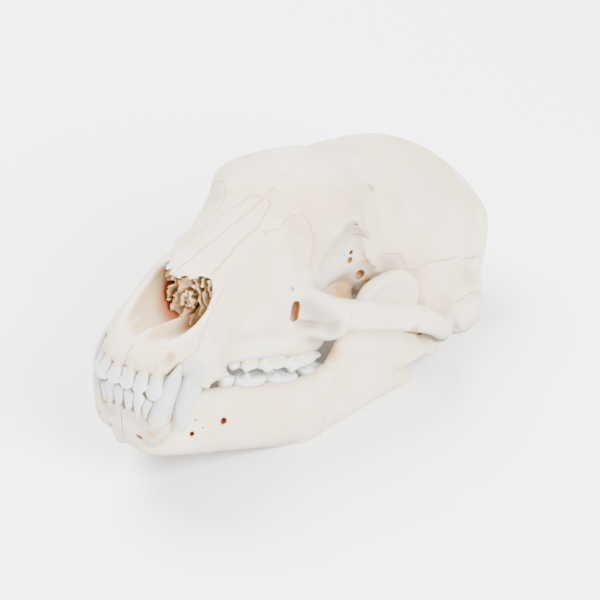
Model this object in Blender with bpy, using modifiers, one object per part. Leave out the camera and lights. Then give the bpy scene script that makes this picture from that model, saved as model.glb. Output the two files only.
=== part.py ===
"""A black bear's skull with its lower jaw closed, life size, as it rests on a shelf.

Metres, +Z up, nose towards -Y and the animal's left towards +X.
Every bone is drawn in the head's own frame: x to the left, y to the back and z up, measured from
the front of the upper jaw at the gum line. At the end the whole skull is tipped nose up, as it
rocks back on its jaw, and is set on the floor.
"""

import math

import bmesh
import bpy
import numpy as np
from mathutils import Matrix, Vector

# Driving dimensions
SKULL_LENGTH = 0.195
NOSE_UP = math.radians(20)
GAP = 0.0003

# The tables below draw the head 0.278 m long; the finished skull is brought to its own length
DRAWN_LENGTH = 0.278
SCALE = SKULL_LENGTH / DRAWN_LENGTH
# Where the front of the upper gum line stands once the skull is set down
GUM_FRONT = Vector((0.0, -0.0961, 0.0608))
DRAWN_GAP = GAP / SCALE

BONE_VOXEL = 0.0015
SMOOTH_STEPS = 6
CRANIUM_TRIANGLES = 4600
JAW_TRIANGLES = 1400
SECTION_POINTS = 40
STATION_STEP = 0.004

BONE_COLOUR = (0.86, 0.80, 0.70, 1.0)
JAW_COLOUR = (0.87, 0.81, 0.71, 1.0)
CHEEK_COLOUR = (0.88, 0.82, 0.72, 1.0)
BONE_ROUGHNESS = 0.55

# Braincase: y, half width, height of the widest line, top, bottom, upper power, lower power
BRAINCASE = (
    (0.1120, 0.0200, 0.060, 0.0800, 0.036, 2.2, 2.2),
    (0.1260, 0.0290, 0.062, 0.0870, 0.028, 2.2, 2.2),
    (0.1420, 0.0345, 0.062, 0.0942, 0.023, 2.2, 2.2),
    (0.1580, 0.0395, 0.058, 0.0947, 0.018, 2.1, 2.2),
    (0.1750, 0.0440, 0.054, 0.0940, 0.015, 2.05, 2.3),
    (0.1920, 0.0475, 0.051, 0.0938, 0.013, 2.0, 2.4),
    (0.2100, 0.0495, 0.049, 0.0930, 0.012, 2.0, 2.5),
    (0.2260, 0.0500, 0.048, 0.0919, 0.012, 2.05, 2.5),
    (0.2400, 0.0500, 0.047, 0.0894, 0.012, 2.1, 2.4),
    (0.2520, 0.0485, 0.046, 0.0852, 0.0135, 2.15, 2.3),
    (0.2620, 0.0440, 0.044, 0.0787, 0.016, 2.2, 2.2),
    (0.2690, 0.0370, 0.042, 0.0695, 0.020, 2.1, 2.0),
    (0.2735, 0.0250, 0.041, 0.0590, 0.026, 2.0, 2.0),
)

# Muzzle, face and forehead, with the same columns
FACE = (
    (0.0005, 0.0110, 0.0055, 0.0080, 0.0030, 2.2, 2.2),
    (0.0040, 0.0160, 0.0070, 0.0125, 0.0020, 2.3, 2.5),
    (0.0120, 0.0200, 0.0110, 0.0250, 0.0020, 2.5, 3.0),
    (0.0220, 0.0230, 0.0160, 0.0400, 0.0035, 2.4, 3.2),
    (0.0320, 0.0250, 0.0180, 0.0500, 0.0050, 2.4, 3.4),
    (0.0450, 0.0262, 0.0200, 0.0550, 0.0065, 2.4, 3.6),
    (0.0600, 0.0280, 0.0200, 0.0608, 0.0070, 2.4, 3.6),
    (0.0750, 0.0320, 0.0210, 0.0665, 0.0070, 2.5, 3.6),
    (0.0880, 0.0360, 0.0240, 0.0715, 0.0070, 2.35, 3.6),
    (0.0980, 0.0390, 0.0300, 0.0755, 0.0080, 2.4, 3.4),
    (0.1080, 0.0395, 0.0450, 0.0805, 0.0090, 2.6, 3.0),
    (0.1180, 0.0400, 0.0610, 0.0865, 0.0100, 2.7, 2.8),
    (0.1280, 0.0395, 0.0680, 0.0917, 0.0140, 2.5, 2.6),
    (0.1380, 0.0380, 0.0700, 0.0947, 0.0200, 2.4, 2.4),
    (0.1500, 0.0340, 0.0680, 0.0952, 0.0280, 2.2, 2.2),
)

# The air passage behind the nose opening, with the columns of the face table
PASSAGE = (
    (-0.004, 0.0075, 0.024, 0.0300, 0.0180, 2.2, 2.4),
    (0.006, 0.0085, 0.024, 0.0320, 0.0175, 2.2, 2.4),
    (0.018, 0.0120, 0.025, 0.0370, 0.0165, 2.2, 2.4),
    (0.030, 0.0155, 0.028, 0.0440, 0.0150, 2.2, 2.4),
    (0.042, 0.0175, 0.030, 0.0500, 0.0145, 2.3, 2.6),
    (0.056, 0.0185, 0.030, 0.0540, 0.0150, 2.3, 2.6),
    (0.072, 0.0190, 0.032, 0.0575, 0.0170, 2.3, 2.6),
    (0.086, 0.0150, 0.036, 0.0560, 0.0220, 2.2, 2.4),
    (0.094, 0.0080, 0.038, 0.0480, 0.0300, 2.0, 2.0),
)

# The crest along the middle of the passage's floor: its middle line, widths and heights
NOSE_CREST = ((0.0, 0.009, 0.0155), (0.0, 0.018, 0.0160), (0.0, 0.032, 0.0150), (0.0, 0.050, 0.0150),
              (0.0, 0.072, 0.0160))
CREST_WIDTHS = (0.0025, 0.0045, 0.0045, 0.0040, 0.0040)
CREST_HEIGHTS = (0.005, 0.009, 0.012, 0.014, 0.016)

# The rim of the nose opening seen from the side, closed well above the snout: y, z
NOSE_NOTCH = (
    (-0.010, 0.0135), (0.004, 0.0150), (0.011, 0.0170), (0.020, 0.0210), (0.029, 0.0270),
    (0.036, 0.0335), (0.0415, 0.0410), (0.0445, 0.0490), (0.047, 0.0800), (-0.010, 0.0800),
)

# The nasal bones' free ends: y, half width, top
NASAL_TIPS = (
    (0.0300, 0.0050, 0.0500), (0.0340, 0.0085, 0.0515), (0.0400, 0.0120, 0.0535),
    (0.0460, 0.0150, 0.0555), (0.0520, 0.0165, 0.0575),
)

# Zygomatic arch: x and y of its middle line, lower edge, upper edge, thickness
ARCH = (
    (0.0300, 0.0950, 0.0220, 0.0460, 0.0130),
    (0.0415, 0.1045, 0.0240, 0.0420, 0.0125),
    (0.0500, 0.1165, 0.0215, 0.0375, 0.0110),
    (0.0540, 0.1285, 0.0180, 0.0355, 0.0090),
    (0.0570, 0.1375, 0.0170, 0.0350, 0.0080),
    (0.0615, 0.1465, 0.0175, 0.0332, 0.0072),
    (0.0672, 0.1585, 0.0170, 0.0330, 0.0070),
    (0.0703, 0.1725, 0.0150, 0.0305, 0.0072),
    (0.0710, 0.1880, 0.0105, 0.0240, 0.0080),
    (0.0685, 0.2010, 0.0050, 0.0185, 0.0100),
    (0.0625, 0.2110, 0.0025, 0.0175, 0.0140),
    (0.0520, 0.2150, 0.0045, 0.0255, 0.0180),
    (0.0380, 0.2150, 0.0100, 0.0340, 0.0200),
)

# The cheek bone between its two sutures, seen from the side: y, z
CHEEK_BONE = ((0.1190, 0.0600), (0.1270, 0.0000), (0.2080, 0.0000), (0.1820, 0.0600))
CHEEK_INNER = 0.0460

# Gum ridge over the upper teeth: x, y, bottom, top, thickness
UPPER_RIDGE = (
    (0.0180, 0.0140, 0.0002, 0.0120, 0.0080),
    (0.0235, 0.0300, 0.0002, 0.0150, 0.0110),
    (0.0250, 0.0500, 0.0010, 0.0150, 0.0090),
    (0.0285, 0.0680, 0.0005, 0.0160, 0.0110),
    (0.0325, 0.0880, 0.0002, 0.0180, 0.0145),
    (0.0335, 0.1080, 0.0005, 0.0190, 0.0160),
    (0.0325, 0.1260, 0.0005, 0.0180, 0.0150),
    (0.0300, 0.1410, 0.0015, 0.0160, 0.0115),
)

# Bone round the roots of the upper front teeth, with the same columns
INCISOR_RIM = (
    (0.0000, 0.0030, 0.0003, 0.0069, 0.0064), (0.0060, 0.0028, 0.0003, 0.0069, 0.0064),
    (0.0118, 0.0044, 0.0005, 0.0071, 0.0064), (0.0164, 0.0084, 0.0007, 0.0073, 0.0064),
    (0.0200, 0.0140, 0.0005, 0.0071, 0.0064),
)

# Half of the lower jaw's body: x, y, bottom, top, thickness
JAW_BODY = (
    (0.0060, 0.0110, -0.0350, -0.0205, 0.0110),
    (0.0065, 0.0200, -0.0478, -0.0185, 0.0090),
    (0.0105, 0.0315, -0.0518, -0.0165, 0.0120),
    (0.0190, 0.0480, -0.0514, -0.0150, 0.0140),
    (0.0260, 0.0700, -0.0510, -0.0138, 0.0145),
    (0.0332, 0.0920, -0.0510, -0.0132, 0.0150),
    (0.0395, 0.1120, -0.0505, -0.0110, 0.0150),
    (0.0450, 0.1300, -0.0450, -0.0060, 0.0125),
)

# The upright rear part of the jaw seen from the side: y, z
RAMUS = (
    (0.118, -0.0505), (0.130, -0.0475), (0.145, -0.0410), (0.160, -0.0345),
    (0.175, -0.0288), (0.188, -0.0248), (0.1985, -0.0213), (0.1965, -0.0165),
    (0.190, -0.0115), (0.196, -0.0055), (0.199, 0.0010), (0.193, 0.0060),
    (0.189, 0.0140), (0.190, 0.0260), (0.187, 0.0370), (0.180, 0.0425),
    (0.171, 0.0435), (0.160, 0.0415), (0.150, 0.0370), (0.143, 0.0250),
    (0.1345, 0.0050), (0.126, -0.0110), (0.118, -0.0200),
)
RAMUS_THICKNESS = 0.0062

# Gum lines of the cheek teeth, and how deep every root goes
UPPER_GUM = 0.0005
LOWER_GUM = -0.0135
ROOT_DEPTH = 0.006

# Cheek teeth: x, y, length, width, height, tips along, turn in plan (degrees)
UPPER_CHEEK_TEETH = (
    (0.0280, 0.0625, 0.0075, 0.0050, 0.0044, 1, 8),
    (0.0310, 0.0755, 0.0165, 0.0110, 0.0070, 2, 10),
    (0.0335, 0.0960, 0.0255, 0.0150, 0.0066, 2, 3),
    (0.0328, 0.1265, 0.0345, 0.0150, 0.0067, 3, -4),
)
LOWER_CHEEK_TEETH = (
    (0.0225, 0.0535, 0.0110, 0.0065, 0.0085, 1, 14),
    (0.0255, 0.0750, 0.0295, 0.0105, 0.0056, 3, 15),
    (0.0315, 0.1050, 0.0285, 0.0130, 0.0052, 2, 13),
    (0.0365, 0.1290, 0.0175, 0.0120, 0.0046, 2, 13),
)

# Front teeth: x, y, gum height, width, depth, crown height, lean of the crown in y
UPPER_FRONT_TEETH = (
    (0.0042, 0.0010, 0.0010, 0.0082, 0.0068, 0.0104, -0.0036),
    (0.0112, 0.0024, 0.0010, 0.0082, 0.0072, 0.0108, -0.0034),
    (0.0168, 0.0068, 0.0015, 0.0092, 0.0080, 0.0144, -0.0010),
)
LOWER_FRONT_TEETH = (
    (0.0033, 0.0085, -0.0220, 0.0064, 0.0058, 0.0110, -0.0050),
    (0.0088, 0.0090, -0.0215, 0.0066, 0.0062, 0.0115, -0.0050),
    (0.0132, 0.0106, -0.0210, 0.0078, 0.0068, 0.0074, -0.0030),
)

UPPER_CANINE = ((0.0245, 0.0390, 0.0160), (0.0262, 0.0304, 0.0040), (0.0270, 0.0252, -0.0060),
                (0.0269, 0.0232, -0.0160), (0.0268, 0.0246, -0.0250), (0.0268, 0.0278, -0.0320))
UPPER_CANINE_WIDTHS = (0.0130, 0.0160, 0.0155, 0.0128, 0.0088, 0.0024)
UPPER_CANINE_DEPTHS = (0.0085, 0.0106, 0.0104, 0.0088, 0.0062, 0.0018)

LOWER_CANINE = ((0.0140, 0.0240, -0.0360), (0.0166, 0.0180, -0.0280), (0.0190, 0.0146, -0.0180),
                (0.0216, 0.0133, -0.0080), (0.0236, 0.0134, 0.0010), (0.0248, 0.0145, 0.0085))
LOWER_CANINE_WIDTHS = (0.0130, 0.0158, 0.0156, 0.0136, 0.0098, 0.0026)
LOWER_CANINE_DEPTHS = (0.0090, 0.0106, 0.0103, 0.0088, 0.0062, 0.0018)

# How much wider than the lower canine its place is cut, in the bone and in the upper teeth
CANINE_PIT = 0.0020
CANINE_CLEARANCE = 0.0010

# The jaw's hinge, a roller across the head: x, y, z of its middle line
JAW_HEAD = ((0.0490, 0.2005, -0.0015), (0.0590, 0.2005, -0.0005), (0.0685, 0.2005, -0.0015))


def smooth_rows(rows, places):
    """Reads a table at new places, along smooth curves through its rows."""
    rows = np.asarray(rows, float)
    knots = rows[:, 0]
    slopes = np.gradient(rows, knots, axis=0)
    left = np.clip(np.searchsorted(knots, places) - 1, 0, len(knots) - 2)
    step = (knots[left + 1] - knots[left])[:, None]
    t = (places - knots[left])[:, None] / step
    start = (2 * t**3 - 3 * t**2 + 1) * rows[left] + (t**3 - 2 * t**2 + t) * step * slopes[left]
    end = (3 * t**2 - 2 * t**3) * rows[left + 1] + (t**3 - t**2) * step * slopes[left + 1]
    return start + end


def power_curve(angle, power):
    """The unit superellipse at an angle, as two numbers from -1 to 1."""
    across = math.copysign(abs(math.cos(angle)) ** (2 / power), math.cos(angle))
    up = math.copysign(abs(math.sin(angle)) ** (2 / power), math.sin(angle))
    return across, up


def new_object(name, bm):
    """Turns a bmesh into an object with its faces pointing out."""
    bmesh.ops.recalc_face_normals(bm, faces=bm.faces)
    mesh = bpy.data.meshes.new(name)
    bm.to_mesh(mesh)
    bm.free()
    obj = bpy.data.objects.new(name, mesh)
    bpy.context.scene.collection.objects.link(obj)
    return obj


def loft(name, rings):
    """One closed skin over rings that all have the same number of points."""
    bm = bmesh.new()
    loops = [[bm.verts.new(point) for point in ring] for ring in rings]
    for first, second in zip(loops, loops[1:]):
        for k in range(len(first)):
            after = (k + 1) % len(first)
            bm.faces.new((first[k], first[after], second[after], second[k]))
    bm.faces.new(reversed(loops[0]))
    bm.faces.new(loops[-1])
    return new_object(name, bm)


def ellipsoid(name, centre, radii, turn=0.0, axis="X", segments=24):
    """A ball stretched to three radii, turned about one axis and set at its centre."""
    bm = bmesh.new()
    bmesh.ops.create_uvsphere(bm, u_segments=segments, v_segments=segments // 2, radius=1.0)
    place = Matrix.Translation(centre) @ Matrix.Rotation(turn, 4, axis) @ Matrix.Diagonal((*radii, 1))
    bmesh.ops.transform(bm, matrix=place, verts=bm.verts)
    return new_object(name, bm)


def body_loft(name, table):
    """A loft along y over superellipse sections whose upper and lower halves differ."""
    count = int((table[-1][0] - table[0][0]) / STATION_STEP) + 1
    places = np.linspace(table[0][0], table[-1][0], count)
    rings = []
    for y, half_width, middle, top, bottom, upper, lower in smooth_rows(table, places):
        ring = []
        for k in range(SECTION_POINTS):
            angle = math.tau * k / SECTION_POINTS
            across, up = power_curve(angle, upper if math.sin(angle) > 0 else lower)
            ring.append((half_width * across, y, middle + up * (top - middle if up > 0 else middle - bottom)))
        rings.append(ring)
    return loft(name, rings)


def plan_sweep(name, rows, side, power=3.0, steps=5, points=20):
    """A bar along a path seen from above, given by x, y, bottom, top and thickness."""
    rows = np.asarray(rows, float)
    lengths = np.hypot(np.diff(rows[:, 0]), np.diff(rows[:, 1]))
    along = np.concatenate(([0.0], np.cumsum(lengths)))
    table = np.column_stack((along, rows))
    fine = smooth_rows(table, np.linspace(0, along[-1], steps * (len(rows) - 1) + 1))
    headings = np.gradient(fine[:, 1:3], axis=0)
    rings = []
    for (_, x, y, bottom, top, thickness), heading in zip(fine, headings):
        normal = Vector((heading[1], -heading[0])).normalized()
        ring = []
        for k in range(points):
            across, up = power_curve(math.tau * k / points, power)
            offset = across * thickness / 2
            ring.append((side * (x + normal.x * offset), y + normal.y * offset,
                         (top + bottom) / 2 + up * (top - bottom) / 2))
        rings.append(ring)
    return loft(name, rings)


def tapered_rod(name, points, widths, depths, across, side=1, sides=10, power=2.0):
    """A rod through points, with a width along the given direction and a depth square to it."""
    points = [Vector((side * x, y, z)) for x, y, z in points]
    across = Vector((side * across[0], across[1], across[2]))
    rings = []
    for k, point in enumerate(points):
        tangent = (points[min(k + 1, len(points) - 1)] - points[max(k - 1, 0)]).normalized()
        wide = (across - tangent * across.dot(tangent)).normalized()
        deep = tangent.cross(wide)
        ring = []
        for j in range(sides):
            along, off = power_curve(math.tau * j / sides, power)
            ring.append(point + wide * along * widths[k] / 2 + deep * off * depths[k] / 2)
        rings.append(ring)
    return loft(name, rings)


def side_slab(name, outline, inner, outer):
    """A slab cut to an outline in y and z, between two x places that may depend on y and z."""
    bm = bmesh.new()
    near = [bm.verts.new((inner(y, z), y, z)) for y, z in outline]
    far = [bm.verts.new((outer(y, z), y, z)) for y, z in outline]
    bm.faces.new(near)
    bm.faces.new(far)
    for k in range(len(outline)):
        after = (k + 1) % len(outline)
        bm.faces.new((near[k], near[after], far[after], far[k]))
    bmesh.ops.triangulate(bm, faces=bm.faces)
    return new_object(name, bm)


def apply_modifier(obj, kind, **settings):
    """Adds a modifier, takes its result as the object's own mesh and removes the modifier."""
    modifier = obj.modifiers.new(kind.title(), kind)
    for key, value in settings.items():
        setattr(modifier, key, value)
    depsgraph = bpy.context.evaluated_depsgraph_get()
    result = bpy.data.meshes.new_from_object(obj.evaluated_get(depsgraph))
    obj.modifiers.clear()
    old = obj.data
    obj.data = result
    bpy.data.meshes.remove(old)


def remove_all(objects):
    """Deletes objects that have served their turn."""
    for obj in list(objects):
        bpy.data.objects.remove(obj, do_unlink=True)


def joined(name, pieces):
    """One object that holds the meshes of all the pieces, which are removed."""
    bm = bmesh.new()
    for piece in pieces:
        bm.from_mesh(piece.data)
    remove_all(pieces)
    return new_object(name, bm)


def boolean(obj, operation, pieces, solver="MANIFOLD"):
    """Joins, cuts or trims an object with a collection of closed pieces, which are removed."""
    group = bpy.data.collections.new("Cutters")
    bpy.context.scene.collection.children.link(group)
    for piece in pieces:
        bpy.context.scene.collection.objects.unlink(piece)
        group.objects.link(piece)
    apply_modifier(obj, "BOOLEAN", operation=operation, solver=solver, operand_type="COLLECTION",
                   collection=group)
    remove_all(group.objects)
    bpy.data.collections.remove(group)


def fuse(obj, voxel=BONE_VOXEL):
    """Melts overlapping closed pieces into one skin."""
    apply_modifier(obj, "REMESH", mode="VOXEL", voxel_size=voxel, adaptivity=0.0)


def smooth(obj, steps):
    """Rounds the skin off by a few steps."""
    apply_modifier(obj, "SMOOTH", factor=0.5, iterations=steps)


def reduce_to(obj, triangles):
    """Thins the skin to about this many triangles."""
    faces = sum(len(polygon.vertices) - 2 for polygon in obj.data.polygons)
    apply_modifier(obj, "TRIANGULATE")
    apply_modifier(obj, "DECIMATE", ratio=min(1.0, triangles / faces))


def keep_largest(obj):
    """Keeps only the largest closed surface of an object."""
    bm = bmesh.new()
    bm.from_mesh(obj.data)
    unseen = set(bm.verts)
    islands = []
    while unseen:
        front = [unseen.pop()]
        island = list(front)
        while front:
            for edge in front.pop().link_edges:
                for vertex in edge.verts:
                    if vertex in unseen:
                        unseen.discard(vertex)
                        front.append(vertex)
                        island.append(vertex)
        islands.append(island)
    islands.sort(key=len)
    for island in islands[:-1]:
        bmesh.ops.delete(bm, geom=island, context="VERTS")
    bm.to_mesh(obj.data)
    bm.free()


def copy_of(obj, name):
    """A second object with its own copy of the mesh."""
    twin = bpy.data.objects.new(name, obj.data.copy())
    bpy.context.scene.collection.objects.link(twin)
    return twin


def box(name, low, high):
    """A box between two corners."""
    bm = bmesh.new()
    bmesh.ops.create_cube(bm, size=1.0)
    low, high = Vector(low), Vector(high)
    size = high - low
    place = Matrix.Translation((low + high) / 2) @ Matrix.Diagonal((*size, 1))
    bmesh.ops.transform(bm, matrix=place, verts=bm.verts)
    return new_object(name, bm)


def crown(name, row, up, side):
    """A cheek tooth: an oval block whose chewing face carries two rows of blunt tips."""
    x, y, length, width, height, tips, turn = row
    angle = math.radians(turn) * side
    segments = 14
    rings = []
    for scale, level in ((0.62, ROOT_DEPTH), (0.80, ROOT_DEPTH * 0.35), (1.0, -height * 0.55),
                         (0.97, -height * 0.80), (0.66, -height)):
        ring = []
        for k in range(segments):
            along, across = power_curve(math.tau * k / segments, 2.8)
            local_y = along * length / 2 * scale
            local_x = across * width / 2 * scale
            rise = 0.0
            if scale < 0.9 and level < 0:
                rise = 0.10 * height * math.cos(math.tau * tips * (local_y / length + 0.5))
            spot_x = local_x * math.cos(angle) + local_y * math.sin(angle)
            spot_y = local_y * math.cos(angle) - local_x * math.sin(angle)
            ring.append((side * x + spot_x, y + spot_y, -up * (level + rise)))
        rings.append(ring)
    return loft(name, rings)


def cheek_teeth(table, gum, up, side):
    """The row of cheek teeth of one side, with up 1 in the lower jaw and -1 in the upper."""
    teeth = []
    for row in table:
        tooth = crown("cheek_tooth", row, up, side)
        tooth.data.transform(Matrix.Translation((0, 0, gum)))
        teeth.append(tooth)
    return teeth


def front_teeth(table, up, side):
    """The three nipping teeth of one side."""
    teeth = []
    for x, y, gum, width, depth, height, lean in table:
        points = [(x, y - 0.3 * lean, gum - up * 0.5 * height), (x, y, gum),
                  (x, y + 0.55 * lean, gum + up * 0.5 * height),
                  (x, y + 0.9 * lean, gum + up * 0.85 * height), (x, y + lean, gum + up * height)]
        if up < 0:
            points = points[::-1]
            shape = (0.62, 0.94, 1.0, 0.88, 0.70)
            thick = (0.28, 0.52, 0.85, 1.0, 0.80)
        else:
            shape = (0.70, 0.88, 1.0, 0.94, 0.62)
            thick = (0.80, 1.0, 0.85, 0.52, 0.28)
        teeth.append(tapered_rod("front_tooth", points, [width * s for s in shape],
                                 [depth * t for t in thick], (1.0, 0.0, 0.0), side, 10, 2.4))
    return teeth


def canine(path, widths, depths, side, extra):
    """A curved, tapering fang, made a little larger where it serves as a cutter."""
    return tapered_rod("canine", path, [w + extra for w in widths], [d + extra for d in depths],
                       (0.0, 1.0, 0.0), side, 12)


def upper_canine(side, extra=0.0):
    """The fang of one side of the upper jaw."""
    return canine(UPPER_CANINE, UPPER_CANINE_WIDTHS, UPPER_CANINE_DEPTHS, side, extra)


def lower_canine(side, extra=0.0):
    """The fang of one side of the lower jaw, which closes in front of the upper one."""
    return canine(LOWER_CANINE, LOWER_CANINE_WIDTHS, LOWER_CANINE_DEPTHS, side, extra)


def upper_teeth():
    """All the teeth that the cranium carries."""
    teeth = []
    for side in (1, -1):
        teeth += cheek_teeth(UPPER_CHEEK_TEETH, UPPER_GUM, -1, side)
        teeth += front_teeth(UPPER_FRONT_TEETH, -1, side)
        teeth.append(upper_canine(side))
    return teeth


def lower_teeth(side):
    """The teeth of one half of the lower jaw."""
    teeth = cheek_teeth(LOWER_CHEEK_TEETH, LOWER_GUM, 1, side)
    teeth += front_teeth(LOWER_FRONT_TEETH, 1, side)
    teeth.append(lower_canine(side))
    return teeth


def cranium_bone():
    """The braincase, face and base as one skin, before the nose is opened."""
    pieces = [body_loft("braincase", BRAINCASE), body_loft("face", FACE)]
    for side in (1, -1):
        pieces.append(plan_sweep("gum_ridge", UPPER_RIDGE, side))
        pieces.append(plan_sweep("arch", ARCH, side))
        pieces.append(tapered_rod(
            "brow_horn", ((0.024, 0.116, 0.076), (0.036, 0.130, 0.0745), (0.0445, 0.1420, 0.0665)),
            (0.022, 0.014, 0.003), (0.010, 0.008, 0.003), (0.4, 1.0, 0.0), side))
        pieces.append(ellipsoid("brow", (side * 0.0190, 0.1260, 0.0740), (0.0200, 0.0270, 0.0140)))
        pieces.append(tapered_rod(
            "canine_root", ((0.0255, 0.030, 0.002), (0.0235, 0.040, 0.016), (0.0205, 0.052, 0.028)),
            (0.017, 0.016, 0.008), (0.013, 0.012, 0.006), (0.0, 1.0, 0.0), side))
        pieces.append(plan_sweep("incisor_rim", INCISOR_RIM, side))
        pieces.append(tapered_rod(
            "canine_collar", ((0.0245, 0.039, 0.016), (0.0268, 0.0315, 0.004), (0.0282, 0.028, -0.0045)),
            (0.016, 0.0195, 0.0185), (0.0115, 0.0136, 0.0126), (0.0, 1.0, 0.0), side))
        pieces.append(ellipsoid("canine_ridge", (side * 0.0285, 0.042, 0.0005), (0.0048, 0.013, 0.0045),
                                math.radians(-14)))
        pieces.append(ellipsoid("mastoid", (side * 0.0545, 0.2445, 0.0115), (0.0092, 0.0130, 0.0165)))
        pieces.append(ellipsoid("ear_region", (side * 0.044, 0.229, 0.024), (0.0115, 0.0240, 0.018)))
        pieces.append(tapered_rod(
            "nape_crest", ((0.000, 0.270, 0.069), (0.020, 0.268, 0.068), (0.035, 0.262, 0.0635),
                           (0.0460, 0.257, 0.0575), (0.0500, 0.2535, 0.044), (0.0530, 0.2500, 0.027)),
            (0.008, 0.008, 0.008, 0.008, 0.009, 0.008), (0.010, 0.009, 0.008, 0.008, 0.010, 0.008),
            (0.0, 0.0, 1.0), side))
        pieces.append(ellipsoid("condyle", (side * 0.018, 0.2705, 0.028), (0.0105, 0.0080, 0.0115)))
        pieces.append(tapered_rod(
            "neck_process", ((0.039, 0.258, 0.024), (0.041, 0.260, 0.011), (0.041, 0.261, 0.003)),
            (0.015, 0.012, 0.006), (0.010, 0.008, 0.005), (1.0, 0.0, 0.0), side))
        pieces.append(ellipsoid("socket_floor", (side * 0.0400, 0.1200, 0.0180), (0.0160, 0.0160, 0.0070)))
        pieces.append(ellipsoid("ear_bulla", (side * 0.031, 0.229, 0.011), (0.0145, 0.0150, 0.0075)))
        pieces.append(tapered_rod(
            "socket_lip", ((0.066, 0.2110, 0.0050), (0.055, 0.2120, 0.0010), (0.043, 0.2125, 0.0050)),
            (0.008, 0.011, 0.008), (0.006, 0.007, 0.006), (0.0, 0.0, 1.0), side))
        pieces.append(tapered_rod(
            "palate_wing", ((0.0175, 0.130, 0.012), (0.0170, 0.155, 0.010), (0.0170, 0.182, 0.012),
                            (0.0165, 0.204, 0.013)),
            (0.014, 0.020, 0.020, 0.010), (0.005, 0.0042, 0.0046, 0.0046), (0.0, 0.0, 1.0), side))
    pieces.append(box("palate", (-0.030, 0.095, 0.0065), (0.030, 0.150, 0.0150)))
    pieces.append(box("skull_base", (-0.018, 0.150, 0.016), (0.018, 0.268, 0.034)))
    bone = joined("cranium", pieces)
    fuse(bone)
    return bone


def orbit_cutters():
    """Hollows that give each eye socket its depth behind the brow and over the cheek root."""
    cutters = []
    for side in (1, -1):
        cutters.append(ellipsoid("socket", (side * 0.049, 0.123, 0.0510), (0.0185, 0.019, 0.0165)))
        cutters.append(ellipsoid("temple", (side * 0.0485, 0.148, 0.049), (0.0165, 0.022, 0.022)))
        cutters.append(ellipsoid("under_temple", (side * 0.049, 0.163, 0.031), (0.018, 0.020, 0.020)))
    return cutters


def socket_ridges():
    """The ridge behind each eye socket, from the brow down the side of the braincase."""
    return [tapered_rod("socket_ridge", ((0.037, 0.149, 0.066), (0.0375, 0.154, 0.056), (0.038, 0.160, 0.046),
                                         (0.0385, 0.167, 0.036)),
                        (0.010, 0.012, 0.012, 0.009), (0.007, 0.009, 0.009, 0.008), (0.0, 1.0, 0.0), side)
            for side in (1, -1)]


def nose_crest():
    """The low wall in the middle of the nose's floor."""
    return tapered_rod("nose_crest", NOSE_CREST, CREST_WIDTHS, CREST_HEIGHTS, (1.0, 0.0, 0.0), sides=12)


def nose_notch():
    """The space in front of the nasal bones and above the front of the jaw."""
    return side_slab("notch", NOSE_NOTCH, lambda y, z: -0.05, lambda y, z: 0.05)


def nose_tips():
    """The free front ends of the two nasal bones, over the opening."""
    rings = []
    for y, half_width, top in NASAL_TIPS:
        ring = []
        for k in range(16):
            angle = math.tau * k / 16
            x = half_width * math.cos(angle)
            arch = 0.0045 * (x / 0.013) ** 2
            ring.append((x, y, top - 0.0018 - arch + 0.0017 * math.sin(angle)))
        rings.append(ring)
    return loft("nasal_tips", rings)


def base_cutters():
    """The hole for the spinal cord, the passage over the palate and the jaw's two sockets."""
    cutters = [
        tapered_rod("cord_hole", ((0.0, 0.246, 0.036), (0.0, 0.266, 0.036), (0.0, 0.285, 0.036)),
                    (0.018, 0.023, 0.025), (0.015, 0.018, 0.020), (1.0, 0.0, 0.0), sides=14),
        tapered_rod("throat", ((0.0, 0.150, 0.012), (0.0, 0.165, 0.006), (0.0, 0.190, 0.001)),
                    (0.022, 0.023, 0.023), (0.014, 0.018, 0.020), (1.0, 0.0, 0.0), sides=14),
    ]
    for side in (1, -1):
        cutters.append(tapered_rod("jaw_socket", JAW_HEAD, (0.0150, 0.0165, 0.0150),
                                   (0.0140, 0.0150, 0.0140), (0.0, 1.0, 0.0), side, 16))
        cutters.append(lower_canine(side, CANINE_PIT))
    return cutters


def jaw_bone():
    """The left half of the lower jaw as one skin, before its teeth."""

    def middle(y, z):
        return 0.0445 + (y - 0.125) * 0.190 - max(0.0, z) * 0.06

    pieces = [plan_sweep("jaw_body", JAW_BODY, 1, power=2.6)]
    pieces.append(side_slab("ramus", RAMUS, lambda y, z: middle(y, z) - RAMUS_THICKNESS / 2,
                            lambda y, z: middle(y, z) + RAMUS_THICKNESS / 2))
    pieces.append(tapered_rod("chin", ((0.0, 0.0105, -0.0215), (0.0, 0.0158, -0.0300), (0.0, 0.0210, -0.0395),
                                       (0.0, 0.0310, -0.0445)),
                              (0.022, 0.020, 0.016, 0.014), (0.013, 0.016, 0.015, 0.012), (1.0, 0.0, 0.0),
                              sides=16))
    pieces.append(ellipsoid("canine_bulge", (0.0130, 0.0215, -0.0275), (0.0074, 0.0090, 0.0098)))
    pieces.append(tapered_rod("jaw_head", JAW_HEAD, (0.0085, 0.0100, 0.0080), (0.0080, 0.0095, 0.0075),
                              (0.0, 1.0, 0.0), sides=12))
    pieces.append(tapered_rod("jaw_neck", ((0.053, 0.180, -0.010), (0.056, 0.190, -0.007),
                                           (0.057, 0.1985, -0.003)),
                              (0.012, 0.014, 0.016), (0.010, 0.009, 0.008), (1.0, 0.0, 0.0)))
    bone = joined("jaw", pieces)
    fuse(bone)
    boolean(bone, "DIFFERENCE", [upper_canine(1, CANINE_PIT)])
    smooth(bone, SMOOTH_STEPS)
    return bone


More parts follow.
